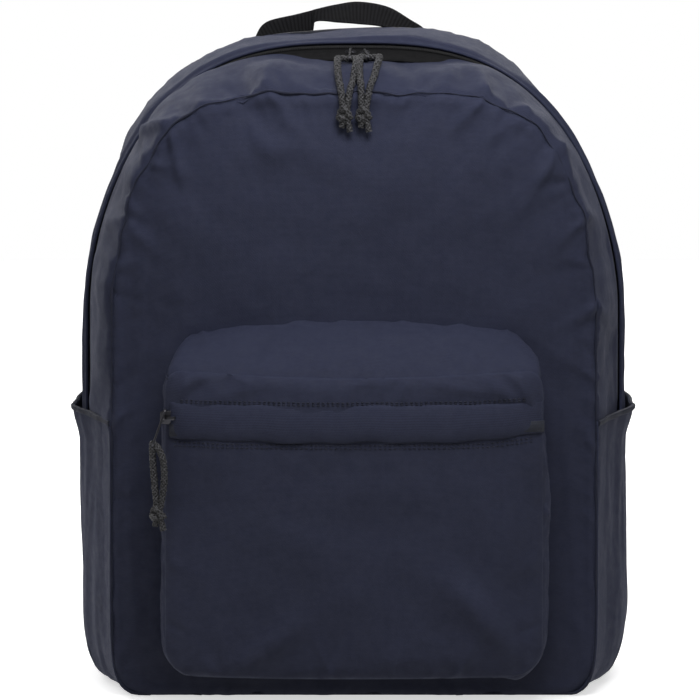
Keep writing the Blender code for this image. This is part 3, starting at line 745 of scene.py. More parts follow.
def build_front_panel():
    line = np.linspace(-1, 1, 150)
    line = np.sign(line) * (1 - (1 - np.abs(line)) ** 1.45)
    x, z, share = disc_in_ring(line, (0.15, 0.19), 0.190, FRONT_RING, -0.003)
    grid = np.stack([x, crown_y(x, z), z], axis=-1)
    edge = 1 - share
    angle = np.arctan2(z - ARCH_Z, x)
    rough = rumple(grid * (1, 1, 0.8), 11.0, 3, 3.0) * 0.0030 + rumple(grid, 40.0, 3, 8.0) * 0.0008
    out = rough * smooth(edge / 0.09) - 0.0024 * bell(edge, 0.010) + 0.0008 * bell(edge - 0.030, 0.018)
    out += seam_pucker(angle * 0.17, edge / 0.45, 0.0003)
    turn = np.where(angle < -math.pi / 2, angle + math.tau, angle)
    out += seam_tucks(turn * ARCH_RADIUS, edge * 0.15, 6) + 0.8 * shoulder_folds(turn, edge * 0.27)
    side_crease = np.abs(x) - 0.134 - 0.004 * np.sin(z * 23 + np.sign(x))
    out += 0.0011 * bell(side_crease, 0.0045) * smooth((0.30 - z) / 0.06) * smooth(z / 0.05)
    grid[..., 1] -= out + soft_folds(x, z, PANEL_FOLDS)
    grid[..., 2] = np.maximum(grid[..., 2], FLOOR_GAP)
    made = grid_mesh("front_panel_cloth", grid, np.stack([x, z], axis=-1), "navy", inside=INSIDE_BAG)
    thicken(made, PANEL_CLOTH, "lining")
    settle(made, None, "front_panel_upper", "front_panel_lower")


def build_seam():
    """The seam between front panel and gusset: a thin, slightly wandering line of turned cloth, darker than
    the panel as painted shade in the seam's crease.
    """
    path = ring_points(FRONT_RING, SEAM_FRONT + 0.0001, inset=0.0008, lift=-0.004)
    path[:, 1] += 0.0010 * np.array([noise.noise(Vector(p) * 90.0) for p in path])
    path[:, 2] = np.maximum(path[:, 2], 0.0016)
    # where the line of painted crease shade thickens and thins along the seam
    shown = np.array([noise.noise(Vector(p) * 34.0 + Vector((5.0, 0.0, 0.0))) for p in path])
    radius = 0.00035 + 0.0006 * smooth(shown * 1.6 + 0.3)
    settle(tube("front_seam_turning_and_painted_shade", path, radius, "seam", closed=True), None)


# =====================================================================================
# main zip
# =====================================================================================
def zip_path(y, inset, count):
    """A line along the open part of the zip, from right to left over the top."""
    opened = ring_points(ZIP_REAR_RING, 0.0)[:, 2] > ZIP_END_Z
    path = (ring_points(ZIP_FRONT_RING, y) + ring_points(ZIP_REAR_RING, y)) / 2
    return spline((path - OUTWARDS * inset)[opened][::3], count)


# radius and tooth pitch of a zip coil
MAIN_COIL = (0.00115, 0.0014)
POCKET_COIL = (0.0010, 0.0013)


def build_zip():
    for word, side, body, inset, ends in (
        ("rear", 1, "bag", 0.0012, ("main_zip_end_left", "main_zip_end_right")),
        ("front", -1, None, 0.0030, ()),
    ):
        outer = zip_path(side * 0.0012, inset, 300)
        inner = zip_path(side * 0.0130, 0.0085, 300)
        grid = outer[None] + (inner - outer)[None] * np.linspace(0, 1, 6)[:, None, None]
        uv = lambda a, b: (b * 0.0022, a * 0.0025)
        tape = grid_mesh(f"main_zip_tape_{word}_cloth", grid, uv, "tape", inside=INSIDE_BAG)
        thicken(tape, TAPE)
        coil = beaded(f"main_zip_coil_{word}_teeth", zip_path(side * 0.0007, 0.0024, 2400), *MAIN_COIL)
        settle(tape, body, f"main_zip_tape_{word}", *ends)
        settle(coil, body, f"main_zip_coil_{word}")


def beaded(name, path, radius, pitch):
    """A zip coil: a tube that swells at every tooth."""
    swell = 0.72 + 0.28 * np.abs(np.sin(travel_of(path) * math.pi / pitch))
    return tube(name, path, radius * swell, "coil")


# =====================================================================================
# pulls
# =====================================================================================
def hard_piece(name, work, edges, bevel, look):
    """Bevels some edges of a bmesh and makes an object of it."""
    bmesh.ops.bevel(work, geom=edges, offset=bevel, segments=2, affect="EDGES", profile=0.6)
    mesh = bpy.data.meshes.new(name)
    work.to_mesh(mesh)
    work.free()
    mesh.uv_layers.new(name="UVMap")
    return link(name, mesh, look)


def rounded_block(name, size, place, look, bevel):
    work = bmesh.new()
    bmesh.ops.create_cube(work, size=1.0)
    bmesh.ops.scale(work, vec=size, verts=work.verts)
    bmesh.ops.transform(work, matrix=place, verts=work.verts)
    return hard_piece(name, work, work.edges[:], bevel, look)


def prism(name, outline, low, high, place, bevel=0.0003):
    """A flat metal plate with softened edges, its outline in the plane of place."""
    work = bmesh.new()
    rings = [[work.verts.new(place @ Vector((x, y, z))) for x, y in outline] for z in (low, high)]
    work.faces.new(rings[0][::-1])
    work.faces.new(rings[1])
    for k in range(len(outline)):
        j = (k + 1) % len(outline)
        work.faces.new((rings[0][k], rings[0][j], rings[1][j], rings[1][k]))
    bmesh.ops.recalc_face_normals(work, faces=work.faces)
    rim = [e for e in work.edges if len(e.link_faces) == 2 and e.calc_face_angle() > 1.0]
    return hard_piece(name, work, rim, bevel, "metal")


def frame_at(origin, along, out):
    """A matrix whose X runs along and Z runs out."""
    x = Vector(along).normalized()
    z = Vector(out)
    z = (z - x * z.dot(x)).normalized()
    turn = Matrix((x, z.cross(x), z)).transposed().to_4x4()
    return Matrix.Translation(Vector(origin)) @ turn


def zip_slider(name, place):
    """A cast slider: shield-shaped top plate, lower plate, post and a bridge for the tab."""
    outline = [(-0.0058, 0.0030), (-0.0040, 0.0040), (0.0015, 0.0042), (0.0052, 0.0031), (0.0060, 0.0012)]
    outline = outline + [(x, -y) for x, y in outline[::-1]]
    parts = []
    for label, low, high, share in (("top", 0.0013, 0.0026, 1.0), ("under", -0.0026, -0.0014, 0.92)):
        scaled = [(x * share, y * share) for x, y in outline]
        parts.append(prism(f"{name}_{label}", scaled, low, high, place))
    post_at = place @ Matrix.Translation((0.0035, 0, 0))
    parts.append(rounded_block(f"{name}_post", (0.0022, 0.0016, 0.0040), post_at, "metal", 0.0003))
    arch = []
    for t in np.linspace(0, math.pi, 13):
        arch.append(place @ Vector((-0.0040 * math.cos(t), 0, 0.0024 + 0.0030 * math.sin(t) ** 0.7)))
    across = [place.to_3x3() @ Vector((0, 1, 0))] * len(arch)
    parts.append(ribbon(f"{name}_bridge", arch, across, 0.0022, 0.0009, "metal"))
    return join(name, parts)


TAB_HALF = 0.0025
TAB_EYE = 0.0014
TAB_THICK = 0.0012


def pull_tab(name, start, end, flat):
    """A stamped tab with a round eye at each end."""
    start, end = Vector(start), Vector(end)
    reach = (end - start).length
    place = frame_at(start, end - start, flat)
    outline = []
    for x, turn, waist in ((0.0, math.pi / 2, -0.72), (reach, -math.pi / 2, 0.72)):
        for k in range(11):
            t = turn + math.pi * k / 10
            outline.append((x + TAB_HALF * math.cos(t), TAB_HALF * math.sin(t)))
        outline.append((reach * 0.5, TAB_HALF * waist))
    body = prism(name, outline, -TAB_THICK / 2, TAB_THICK / 2, place)
    for x in (0.0, reach):
        turns = [math.tau * k / 14 for k in range(14)]
        ring = [(x + TAB_EYE * math.cos(t), TAB_EYE * math.sin(t)) for t in turns]
        hole = prism(f"{name}_hole", ring, -0.003, 0.003, place, 0.00005)
        cut = body.modifiers.new("eye", "BOOLEAN")
        cut.operation = "DIFFERENCE"
        cut.solver = "EXACT"
        cut.object = hole
        bpy.context.view_layer.objects.active = body
        bpy.ops.object.modifier_apply(modifier="eye")
        bpy.data.objects.remove(hole)
    body.data.shade_smooth()
    body.data.set_sharp_from_angle(angle=math.radians(35))
    return body


CORD_RADIUS = 0.0018
CORD_SIDES = 16
CORD_STEP = 0.00035
BRAID_LAY = 0.0034


def braided(name, path, radius):
    """A braided cord whose crossing strands stand up from its surface."""
    path = np.array(path, float)
    path = spline(path, max(int(travel_of(path)[-1] / CORD_STEP), 24))
    made = tube(name, path, radius, "cord", CORD_SIDES)
    points = np.array([v.co for v in made.data.vertices]).reshape(len(path), CORD_SIDES, 3)
    around = np.arange(CORD_SIDES) / CORD_SIDES * math.tau * 1.5
    lay = travel_of(path)[:, None] / BRAID_LAY * math.pi
    strand = np.maximum(np.abs(np.sin(around[None] + lay)), np.abs(np.sin(around[None] - lay)))
    swell = 0.62 + 0.60 * strand**3 + np.random.default_rng(9).normal(0.0, 0.07, strand.shape)
    points = path[:, None] + (points - path[:, None]) * swell[..., None]
    for vertex, p in zip(made.data.vertices, points.reshape(-1, 3)):
        vertex.co = p
    return made


def cord_loop(name, eye, middle, spreads, knot_at, fall, across):
    """A cord through an eye: two strands that part and meet, an overhand knot and two frayed ends."""
    across, fall, knot_at = (np.array(v, float) for v in (across, fall, knot_at))
    strands = []
    for sign in (-1, 1):
        strand = [np.array(m) + sign * across * s for m, s in zip(middle, spreads)]
        strands.append(strand + [knot_at + sign * across * 0.0008])
    loop = braided(f"{name}_loop", strands[0][::-1] + [np.array(eye)] + strands[1], CORD_RADIUS)
    out = np.cross(across, fall)
    knot = []
    for k in range(46):
        t = math.tau * k / 45
        wind = across * (0.0025 * math.sin(t) + 0.0012 * math.sin(2 * t + 0.6))
        wind = wind + fall * (0.0030 * math.cos(t) - 0.0009 * math.cos(3 * t))
        wind = wind + out * 0.0013 * math.sin(3 * t)
        knot.append(knot_at + wind)
    parts = [loop, braided(f"{name}_knot", knot, CORD_RADIUS * 1.05)]
    for sign, reach in ((-1, 0.0085), (1, 0.0110)):
        falls = ((0.0, 0.0006), (0.0045, 0.0014), (reach, 0.0026))
        path = [knot_at + fall * down + across * sign * aside for down, aside in falls]
        parts.append(braided(f"{name}_end", path, CORD_RADIUS * 0.92))
    return join(name, parts)


def top_of(grid, x, y):
    """Height of the gusset's cloth over a spot, from its nearest vertices."""
    flat = grid[grid[..., 2] > ARCH_Z + 0.1]
    away = np.hypot(flat[:, 0] - x, flat[:, 1] - y)
    near = np.argsort(away)[:4]
    weight = 1 / (away[near] + 1e-5)
    return float(np.sum(flat[near, 2] * weight) / np.sum(weight))


def build_main_pulls(gusset_grid):
    """Both sliders of the main zip, their tabs, and the cords that lie over the front."""
    for word, sign, x, eye_x, knot_x in (
        ("left", -1, -0.0020, -0.0026, -0.0054), ("right", 1, 0.0068, 0.0086, 0.0062)
    ):
        at = Vector((x, -0.0020, top_of(gusset_grid, x, -0.006) - 0.0005))
        slider = zip_slider(f"main_slider_{word}_cast", frame_at(at, (sign, 0, 0), (0, -0.55, 0.83)))
        settle(slider, f"main_slider_{word}_body", f"main_slider_{word}")
        end = Vector((eye_x, -0.0185, top_of(gusset_grid, eye_x, -0.0185) + 0.0030))
        tab = pull_tab(f"main_pull_tab_{word}_stamped", (x, -0.0062, at.z + 0.0042), end, (1, 0.1, 0.1))
        settle(tab, f"main_tab_{word}_body", f"main_pull_tab_{word}")
        middle = []
        for share, y in ((0.02, -0.0215), (0.10, -0.0290), (0.30, -0.0400), (0.55, -0.0520), (0.78, -0.0620)):
            cx = eye_x * (1 - share) + knot_x * share + sign * 0.0015 * (1 - share)
            middle.append(Vector((cx, y, top_of(gusset_grid, cx, max(y, -0.058)) + 0.0034)))
        middle[-1].z -= 0.0020
        middle.append(Vector((knot_x, -0.0668, 0.3672)))
        spreads = (0.0050, 0.0058, 0.0054, 0.0044, 0.0027, 0.0016)
        knot = (knot_x, -0.0690, 0.3612)
        cord = cord_loop(f"main_cord_{word}_braid", end, middle, spreads, knot, (0.04, -0.10, -1), (1, 0, 0))
        settle(cord, f"main_cord_{word}_body", f"main_cord_{word}")


# =====================================================================================
# front pocket
# =====================================================================================
POCKET_CORNER_LOW = 0.018
POCKET_CORNER_HIGH = 0.012
POCKET_FOOT_Z = 0.0205
POCKET_SEAM_Z = 0.2056
POCKET_SIDE = 0.1152
POCKET_DEPTH = 0.045
POCKET_ZIP_LEFT = -0.1135
POCKET_ZIP_RIGHT = 0.1100


def pocket_arc_y(x):
    return POCKET_FRONT_Y + POCKET_ARC_R - np.sqrt(POCKET_ARC_R**2 - np.asarray(x) ** 2)


def pocket_outline(count):
    """Round the pocket from the middle of its underside, anticlockwise seen from the front."""
    low, high = POCKET_CORNER_LOW, POCKET_CORNER_HIGH
    walk = [(0.0, POCKET_FOOT_Z)]
    for cx, cz, r, start in (
        (POCKET_SIDE - low, POCKET_FOOT_Z + low, low, -math.pi / 2),
        (POCKET_SIDE - high, POCKET_SEAM_Z - high, high, 0.0),
        (high - POCKET_SIDE, POCKET_SEAM_Z - high, high, math.pi / 2),
        (low - POCKET_SIDE, POCKET_FOOT_Z + low, low, math.pi),
    ):
        for k in range(13):
            t = start + math.pi / 2 * k / 12
            walk.append((cx + r * math.cos(t), cz + r * math.sin(t)))
    walk.append(walk[0])
    travel = travel_of(walk)
    return along_path(walk, travel, np.linspace(0, travel[-1], count, endpoint=False)), travel[-1]


def seam_lift(x, z):
    """The pocket's top front seam is drawn up towards its corners."""
    return 0.0036 * (x / 0.11) ** 2 * smooth((z - 0.190) / 0.012)


def pocket_rims(count):
    """The pocket's front edge and the line where its walls meet the bag, and their length."""
    outline, girth = pocket_outline(count)
    x, z = outline.T
    high = smooth((z - 0.150) / 0.05)
    back_x = x * (1.008 - 0.075 * high * smooth((np.abs(x) - 0.07) / 0.04))
    rise = np.clip((z - POCKET_SEAM_Z + 0.05) / 0.05, 0, 1)
    back_z = z + 0.0290 * rise**2 - 0.0085 * high * (np.abs(x) / 0.106) ** 2.2
    front_z = z + seam_lift(x, z)
    front = np.stack([x, pocket_arc_y(x) + 0.0026, front_z], axis=1)
    back = np.stack([back_x, crown_y(back_x, back_z) + 0.0008, back_z], axis=1)
    return front, back, girth


def pocket_walls():
    """The sheet round the pocket: its points, its girth and its front edge."""
    count, rows = 320, 24
    front, back, girth = pocket_rims(count)
    share = (smooth(np.linspace(0, 1, rows)) * 0.6 + np.linspace(0, 1, rows) * 0.4)[:, None]
    grid = front[None] + (back - front)[None] * share[..., None]
    lean = unit(np.stack([np.gradient(front[:, 2]), np.zeros(count), -np.gradient(front[:, 0])], axis=1))
    swell = np.sin(math.pi * share) ** 0.8
    along = np.linspace(0, girth, count, endpoint=False)[None]
    top_side = smooth((front[:, 2] - POCKET_SEAM_Z + 0.004) / 0.004)
    bulge = 0.0020 + rumple(grid, 24.0, 3, 21.0) * 0.0026 + rumple(grid * (1, 2.2, 1), 60.0, 2, 4.0) * 0.0008
    bulge = (bulge + 0.0016 * top_side[None]) * swell
    bulge += seam_pucker(along, share, 0.0003, 0.011)
    bulge += seam_tucks(along, share * POCKET_DEPTH, 17) * smooth(share / 0.10)
    bulge += seam_tucks(along, (1 - share) * POCKET_DEPTH, 18) * 0.7
    bulge -= 0.0010 * bell(share, 0.05)
    turned = np.where(np.diff(top_side) != 0)[0]
    for column in (turned[0], turned[-1]):
        away = np.abs((np.arange(count) - column) * girth / count)
        bulge += swell * (0.0016 * bell(away - 0.006, 0.004) - 0.0014 * bell(away, 0.002))
    return grid + lean[None] * bulge[..., None], girth, front


def build_pocket_walls():
    grid, girth, front = pocket_walls()
    rows, count = grid.shape[:2]
    top = np.where(front[:, 2] - seam_lift(front[:, 0], front[:, 2]) > POCKET_SEAM_Z - 0.0065)[0]
    rest = np.concatenate([np.arange(top[-1], count), np.arange(0, top[0] + 1)])
    uv = lambda a, b: (b * girth / count, a * POCKET_DEPTH / rows)
    for node, columns in (("pocket_top_gusset", top), ("pocket_gusset", rest)):
        made = grid_mesh(f"{node}_cloth", grid[:, columns], uv, "navy", inside=INSIDE_POCKET)
        thicken(made, CLOTH, "lining")
        settle(made, "bag", node)
    # thin tubes of the darker seam cloth down the pocket's corners: the corner seams and painted shade in
    # their creases
    corners = []
    for column in (top[0], top[-1]):
        path = grid[::2, column] + np.array([0.0, 0.0, 0.0003])
        corners.append(tube("corner", spline(path, 60), 0.0006, "seam"))
    settle(join("pocket_corner_seams_and_painted_shade", corners), "bag")


def pocket_half_at(z):
    """Half width of the pocket's rounded front at a height."""
    z = np.asarray(z, float)
    low = np.clip(1 - (z - POCKET_FOOT_Z) / POCKET_CORNER_LOW, 0, 1)
    high = np.clip(1 - (POCKET_SEAM_Z - z) / POCKET_CORNER_HIGH, 0, 1)
    cut = POCKET_CORNER_LOW * (1 - np.sqrt(1 - low**2)) + POCKET_CORNER_HIGH * (1 - np.sqrt(1 - high**2))
    return POCKET_SIDE - cut


def pocket_face(x, z):
    """Depth of the pocket's front cloth, with its fullness and rolled edges."""
    s = np.clip(np.abs(x) / POCKET_SIDE, 0, 1)
    t = np.clip(np.abs(z - 0.095) / 0.110, 0, 1)
    puff = 0.0050 * (1 - s**4) * (1 - t**3)
    side = pocket_half_at(z) - np.abs(x)
    edge = np.minimum(side, np.minimum(z - POCKET_FOOT_Z, POCKET_SEAM_Z - z))
    roll = 0.0030 * np.exp(-np.clip(edge, 0, 1) / 0.0028)
    return pocket_arc_y(x) - puff + roll


# x, z, lean, length, width and height of the pocket's larger soft folds
POCKET_FOLDS = (
    (-0.1020, 0.1990, 0.90, 0.0120, 0.0035, 0.0022),
    (-0.0940, 0.1970, 0.55, 0.0140, 0.0035, -0.0018),
    (0.1010, 0.1990, -0.90, 0.0140, 0.0035, 0.0022),
    (0.0900, 0.1960, -0.50, 0.0160, 0.0040, 0.0020),
    (0.0700, 0.1975, -0.20, 0.0180, 0.0035, 0.0014),
    (-0.0700, 0.1965, 0.25, 0.0180, 0.0035, 0.0012),
    (0.0800, 0.0560, -0.90, 0.0300, 0.0085, 0.0046),
    (0.0560, 0.0760, -0.60, 0.0350, 0.0140, 0.0024),
    (-0.0480, 0.0430, 0.67, 0.0260, 0.0080, 0.0040),
    (-0.0900, 0.0700, 1.30, 0.0400, 0.0100, 0.0014),
    (0.0960, 0.1200, 1.50, 0.0450, 0.0110, 0.0020),
    (0.0200, 0.1350, 0.15, 0.0500, 0.0130, 0.0012),
    (-0.0300, 0.1040, -0.35, 0.0450, 0.0160, 0.0014),
)


def pocket_cloth(node, low, high, rows, cols, seed):
    """A piece of the pocket's front between two heights."""
    s = np.linspace(-1, 1, cols)
    s = np.sign(s) * (1 - (1 - np.abs(s)) ** 1.15)
    z, s = np.meshgrid(np.linspace(low, high, rows), s, indexing="ij")
    x = s * pocket_half_at(z)
    grid = np.stack([x, pocket_face(x, z), z], axis=-1)
    side = pocket_half_at(z) - np.abs(x)
    foot, top = z - POCKET_FOOT_Z, POCKET_SEAM_Z - z
    fade = smooth(np.minimum(np.minimum(foot, side), np.abs(high - z) + 0.004) / 0.014)
    grid[..., 2] += seam_lift(x, z)
    out = rumple(grid * (1, 1, 0.6), 17.0, 3, seed) * 0.0024 + rumple(grid, 48.0, 3, seed + 7) * 0.0005
    out = (out + soft_folds(x, z, POCKET_FOLDS)) * fade
    foot_tucks = seam_tucks(x + 0.2, np.clip(foot, 0, 1), 21) * 1.2
    out += foot_tucks * smooth(side / 0.01) * smooth(foot / 0.004)
    out += seam_tucks(z + 0.1, np.clip(side, 0, 1), 22) * smooth(side / 0.005) * 0.7
    out += seam_tucks(x + 0.3, np.clip(top, 0, 1), 23) * smooth(top / 0.004)
    grid[..., 1] -= out
    made = grid_mesh(f"{node}_cloth", grid, np.stack([x, z], axis=-1), "navy", inside=INSIDE_POCKET)
    thicken(made, CLOTH, "lining")
    settle(made, "bag", node)
    return made


# height, and distance in front of the pocket, down the raised flap over the zip and back behind it
FLAP_PROFILE = (
    (0.1897, -0.0010), (0.1890, 0.0003), (0.1872, 0.0014), (0.1840, 0.0026), (0.1790, 0.0034),
    (0.1740, 0.0034), (0.1710, 0.0028), (0.1690, 0.0020), (0.1675, 0.0011), (0.1667, 0.0003),
    (0.1690, 0.0001), (0.1760, 0.0001),
)
FLAP_SEAM_Z = 0.1893


def build_zip_flap():
    x = np.linspace(-0.1120, POCKET_SIDE, 130)
    fade = smooth((POCKET_SIDE - x) / 0.020) * smooth((x - POCKET_ZIP_LEFT) / 0.010)
    stand = 0.62 * (0.12 + 0.88 * fade)
    lift = 0.0035 * smooth((x - 0.070) / 0.045) + 0.0016 * smooth((-x - 0.085) / 0.03)
    wave = 0.00045 * np.sin(x * 190) + 0.00035 * np.sin(x * 83 + 1)
    grid = []
    for height, out in FLAP_PROFILE:
        z = height + (lift / 0.022 + wave / 0.02) * (FLAP_SEAM_Z - height)
        grid.append(np.stack([x, pocket_face(x, z) - out * stand - 0.0003, z], axis=1))
    uv = lambda a, b: (x[b], a * 0.0022)
    flap = grid_mesh("pocket_zip_flap_cloth", np.array(grid), uv, "navy", inside=INSIDE_POCKET)
    thicken(flap, FLAP_CLOTH, "lining")
    settle(flap, "bag", "pocket_zip_flap")
    return flap


# height and half length of each row of stitches over the pocket's front
POCKET_STITCH_ROWS = ((0.1912, 0.106), (0.1898, 0.106), (0.1652, 0.110), (0.1630, 0.110))


def build_pocket_front():
    lower = pocket_cloth("pocket_front", POCKET_FOOT_Z, 0.1762, 96, 140, 31.0)
    band = pocket_cloth("pocket_band", 0.1838, POCKET_SEAM_Z, 22, 130, 44.0)
    cloths = (lower, band, build_zip_flap())
    rows = []
    for z, half in POCKET_STITCH_ROWS:
        x = np.linspace(-half, half, 160)
        lift = 0.0030 * smooth((x - 0.075) / 0.045) if z < 0.17 else 0.0012 * smooth((x - 0.07) / 0.04)
        path = np.stack([x, pocket_face(x, z + lift), z + lift], axis=1)
        rows.append(stitches("row", laid_on(path, cloths, (0, 1, 0)), (0, -1, 0)))
    settle(join("pocket_stitch_rows", rows), "bag")


def pocket_line(count, behind, z):
    """A level line behind the bowed front of the pocket, along its zip."""
    x = np.linspace(POCKET_ZIP_LEFT, POCKET_ZIP_RIGHT, count)
    return np.stack([x, pocket_arc_y(x) + behind, np.full_like(x, z)], axis=1)


def build_pocket_zip():
    for word, sign in (("lower", -1), ("upper", 1)):
        heights = POCKET_ZIP_Z + sign * np.linspace(0.0008, 0.0120, 6)
        grid = np.array([pocket_line(120, 0.0022, z) for z in heights])
        uv = lambda a, b: (grid[a, b, 0], a * 0.0022)
        tape = grid_mesh(f"pocket_zip_tape_{word}_cloth", grid, uv, "tape", inside=INSIDE_POCKET)
        thicken(tape, TAPE)
        path = pocket_line(1000, 0.0016, POCKET_ZIP_Z + sign * 0.0011)
        coil = beaded(f"pocket_zip_coil_{word}_teeth", path, *POCKET_COIL)
        settle(tape, "bag", f"pocket_zip_tape_{word}")
        settle(coil, "bag", f"pocket_zip_coil_{word}")


def build_pocket_pull():
    x = -0.1120
    at = Vector((x, float(pocket_arc_y(x)) + 0.0022, POCKET_ZIP_Z))
    slider = zip_slider("pocket_slider_cast", frame_at(at, (1, 0, 0), (-0.19, -1, 0)))
    settle(slider, "pocket_slider_body", "pocket_slider")
    start = at + Vector((-0.0032, -0.0080, 0.0040))
    eye = at + Vector((-0.0098, -0.0112, -0.0145))
    tab = pull_tab("pocket_pull_tab_stamped", start, eye, (1, 0.05, 0))
    settle(tab, "pocket_pull", "pocket_pull_tab")
    hang = ((0.0016, -0.0004, -0.0040), (0.0030, -0.0006, -0.0120), (0.0036, -0.0004, -0.0250),
            (0.0032, 0.0000, -0.0370))
    middle = [eye + Vector(step) for step in hang]
    spreads = (0.0022, 0.0034, 0.0030, 0.0014)
    knot = eye + Vector((0.0026, 0.0002, -0.0425))
    cord = cord_loop("pocket_cord_braid", eye, middle, spreads, knot, (0.1, 0, -1), (0.95, -0.3, 0))
    settle(cord, "pocket_pull", "pocket_cord")


# =====================================================================================
# side pockets
# =====================================================================================
SIDE_POCKET_TOP = 0.1700
SIDE_POCKET_HALF = 0.0592


def side_wall_x(y, z):
    """Half width of the body at a depth and height, from the gussets' rings."""
    share = smooth((y - SEAM_FRONT) / (SEAM_REAR - SEAM_FRONT) * 1.6)
    half = FRONT_RING[0] + (REAR_RING[0] - FRONT_RING[0]) * share
    drop = np.clip((ARCH_Z - z) / BOTTOM_REACH, 0, 1)
    return half * (1 - drop**BOTTOM_POWER) ** (1 / BOTTOM_POWER)


def build_side_pockets():
    z, y = np.meshgrid(
        np.linspace(0.0030, SIDE_POCKET_TOP, 60),
        np.linspace(-SIDE_POCKET_HALF, SIDE_POCKET_HALF, 56), indexing="ij",
    )
    across = (y + SIDE_POCKET_HALF) / (2 * SIDE_POCKET_HALF)
    mouth = smooth((z - SIDE_POCKET_TOP + 0.022) / 0.022)
    belly = np.sin(math.pi * np.clip(across, 0, 1)) ** 0.75
    stand = 0.0006 + (0.0022 + 0.0036 * mouth) * belly * smooth((z - 0.003) / 0.04)
    stand += 0.0008 * np.sin(across * 14 + 0.8) * belly * mouth
    for side, word in ((-1, "left"), (1, "right")):
        grid = np.stack([side * (side_wall_x(y, z) + stand), y, z], axis=-1)
        grid[..., 0] += side * rumple(grid * (1, 1.6, 0.35), 30.0, 3, 60.0 + side) * 0.0018 * belly
        uv = np.stack([y, z], axis=-1)
        made = grid_mesh(f"side_pocket_{word}_cloth", grid, uv, "navy", inside=INSIDE_BAG)
        thicken(made, CLOTH, "lining")
        edge = grid[-1] + np.array([side * 0.0002, 0, -0.0012])
        face = [(side * 0.15, 0, 1.0)] * len(edge)
        hem = ribbon(f"side_pocket_hem_{word}_binding", edge, face, 0.0030, 0.0022, "binding")
        settle(made, "bag", f"side_pocket_{word}")
        settle(hem, "bag", f"side_pocket_hem_{word}")


# =====================================================================================
# back, straps and handle
# =====================================================================================
def build_back():
    """The quilted mesh panel that rests on the wearer's back, and the lining behind it."""
    x, z, share = disc_in_ring(np.linspace(-1, 1, 120), (0.165, 0.20), 0.197, REAR_RING)
    edge = 1 - share
    lining = 0.0034 * smooth(edge / 0.10)
    channel = np.minimum(np.abs(np.abs(x) - 0.040), 0.010)
    rung = np.abs((z - 0.05) / 0.062 - np.round((z - 0.05) / 0.062)) * 0.062
    quilt = lining + 0.0030 * smooth(channel / 0.007) * smooth(edge / 0.16)
    quilt = quilt - 0.0022 * bell(rung, 0.0035) * smooth(edge / 0.12)
    for word, y, look, outwards, nodes in (
        ("panel_quilt", SEAM_REAR + quilt, "mesh", True, ("back_panel", "back_foam")),
        ("lining_cloth", 0.0550 - lining * 0.4, "lining", False, ("back_lining",)),
    ):
        grid = np.stack([x, y, z], axis=-1)
        grid[..., 1] += rumple(grid, 20.0, 2, 90.0) * 0.0010 * smooth(edge / 0.05)
        uv = np.stack([x, z], axis=-1)
        made = grid_mesh(f"back_{word}", grid, uv, look, inside=INSIDE_BAG, outwards=outwards)
        thicken(made)
        settle(made, "bag", *nodes)


# pairs along the handle: a point of its upper edge, then the point of its lower edge
HANDLE_EDGES = (
    (-0.0620, 0.0550, 0.3810, -0.0560, 0.0530, 0.3740),
    (-0.0600, 0.0600, 0.3918, -0.0520, 0.0570, 0.3785),
    (-0.0535, 0.0640, 0.3993, -0.0450, 0.0600, 0.3830),
    (-0.0360, 0.0670, 0.4034, -0.0340, 0.0630, 0.3870),
    (-0.0262, 0.0690, 0.4056, -0.0262, 0.0650, 0.3905),
    (-0.0225, 0.0700, 0.4063, -0.0238, 0.0645, 0.3994),
    (-0.0110, 0.0730, 0.4084, -0.0090, 0.0600, 0.3996),
    (0.0031, 0.0750, 0.4099, 0.0031, 0.0590, 0.3988),
    (0.0207, 0.0740, 0.4069, 0.0170, 0.0590, 0.3972),
    (0.0345, 0.0705, 0.3995, 0.0290, 0.0600, 0.3922),
    (0.0440, 0.0670, 0.3935, 0.0370, 0.0595, 0.3860),
    (0.0540, 0.0560, 0.3815, 0.0460, 0.0540, 0.3765),
)


def build_handle():
    """The carry handle: webbing that lies towards the front, folded under at its left leg."""
    edges = spline(HANDLE_EDGES, 140)
    upper, lower = edges[:, :3], edges[:, 3:]
    widths = np.linalg.norm(upper - lower, axis=1)
    middle = (upper + lower) / 2
    made = ribbon("carry_handle_webbing", middle, upper - lower, widths, 0.0018, "webbing", segments=8)
    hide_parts("carry_handle")
    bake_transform(made)


PAD_LENGTH = 0.1760
PAD_ROWS = 70
PAD_SEAM = 0.84
PAD_SEEDS = {"left": 4.0, "right": 9.0}
WEBBING_WIDTH = 0.0250
WEBBING_THICK = 0.0015


def build_straps():
    for word in ("left", "right"):
        joints = ("swing", "lock_tilt", "webbing_swing")
        top, lock, foot = (Vector(JOINTS[f"strap_{word}_{joint}"]["pos_m"]) for joint in joints)
        down = (lock - top).normalized()
        out = Vector((0, -down.z, down.y))
        settle(strap_pad(word, top, down, out), f"strap_{word}", f"strap_pad_{word}")
        settle(strap_loop(word, top, down, out, lock), f"strap_{word}", f"strap_loop_{word}")
        buckle(word, lock, foot)
        lower_webbing(word, lock, foot)


def pad_half(s):
    """Half width of the pad at a share of its length: it narrows towards the ladder lock."""
    return 0.0300 - 0.0040 * float(smooth((s - 0.75) / 0.25)) - 0.0060 * float(smooth((s - 0.93) / 0.07))


def pad_crown(s, t):
    """How far the pad swells at shares along it and out from its middle."""
    return 0.0054 * (1 - abs(t) ** 3.0) * (1 - abs(2 * s - 1) ** 14)


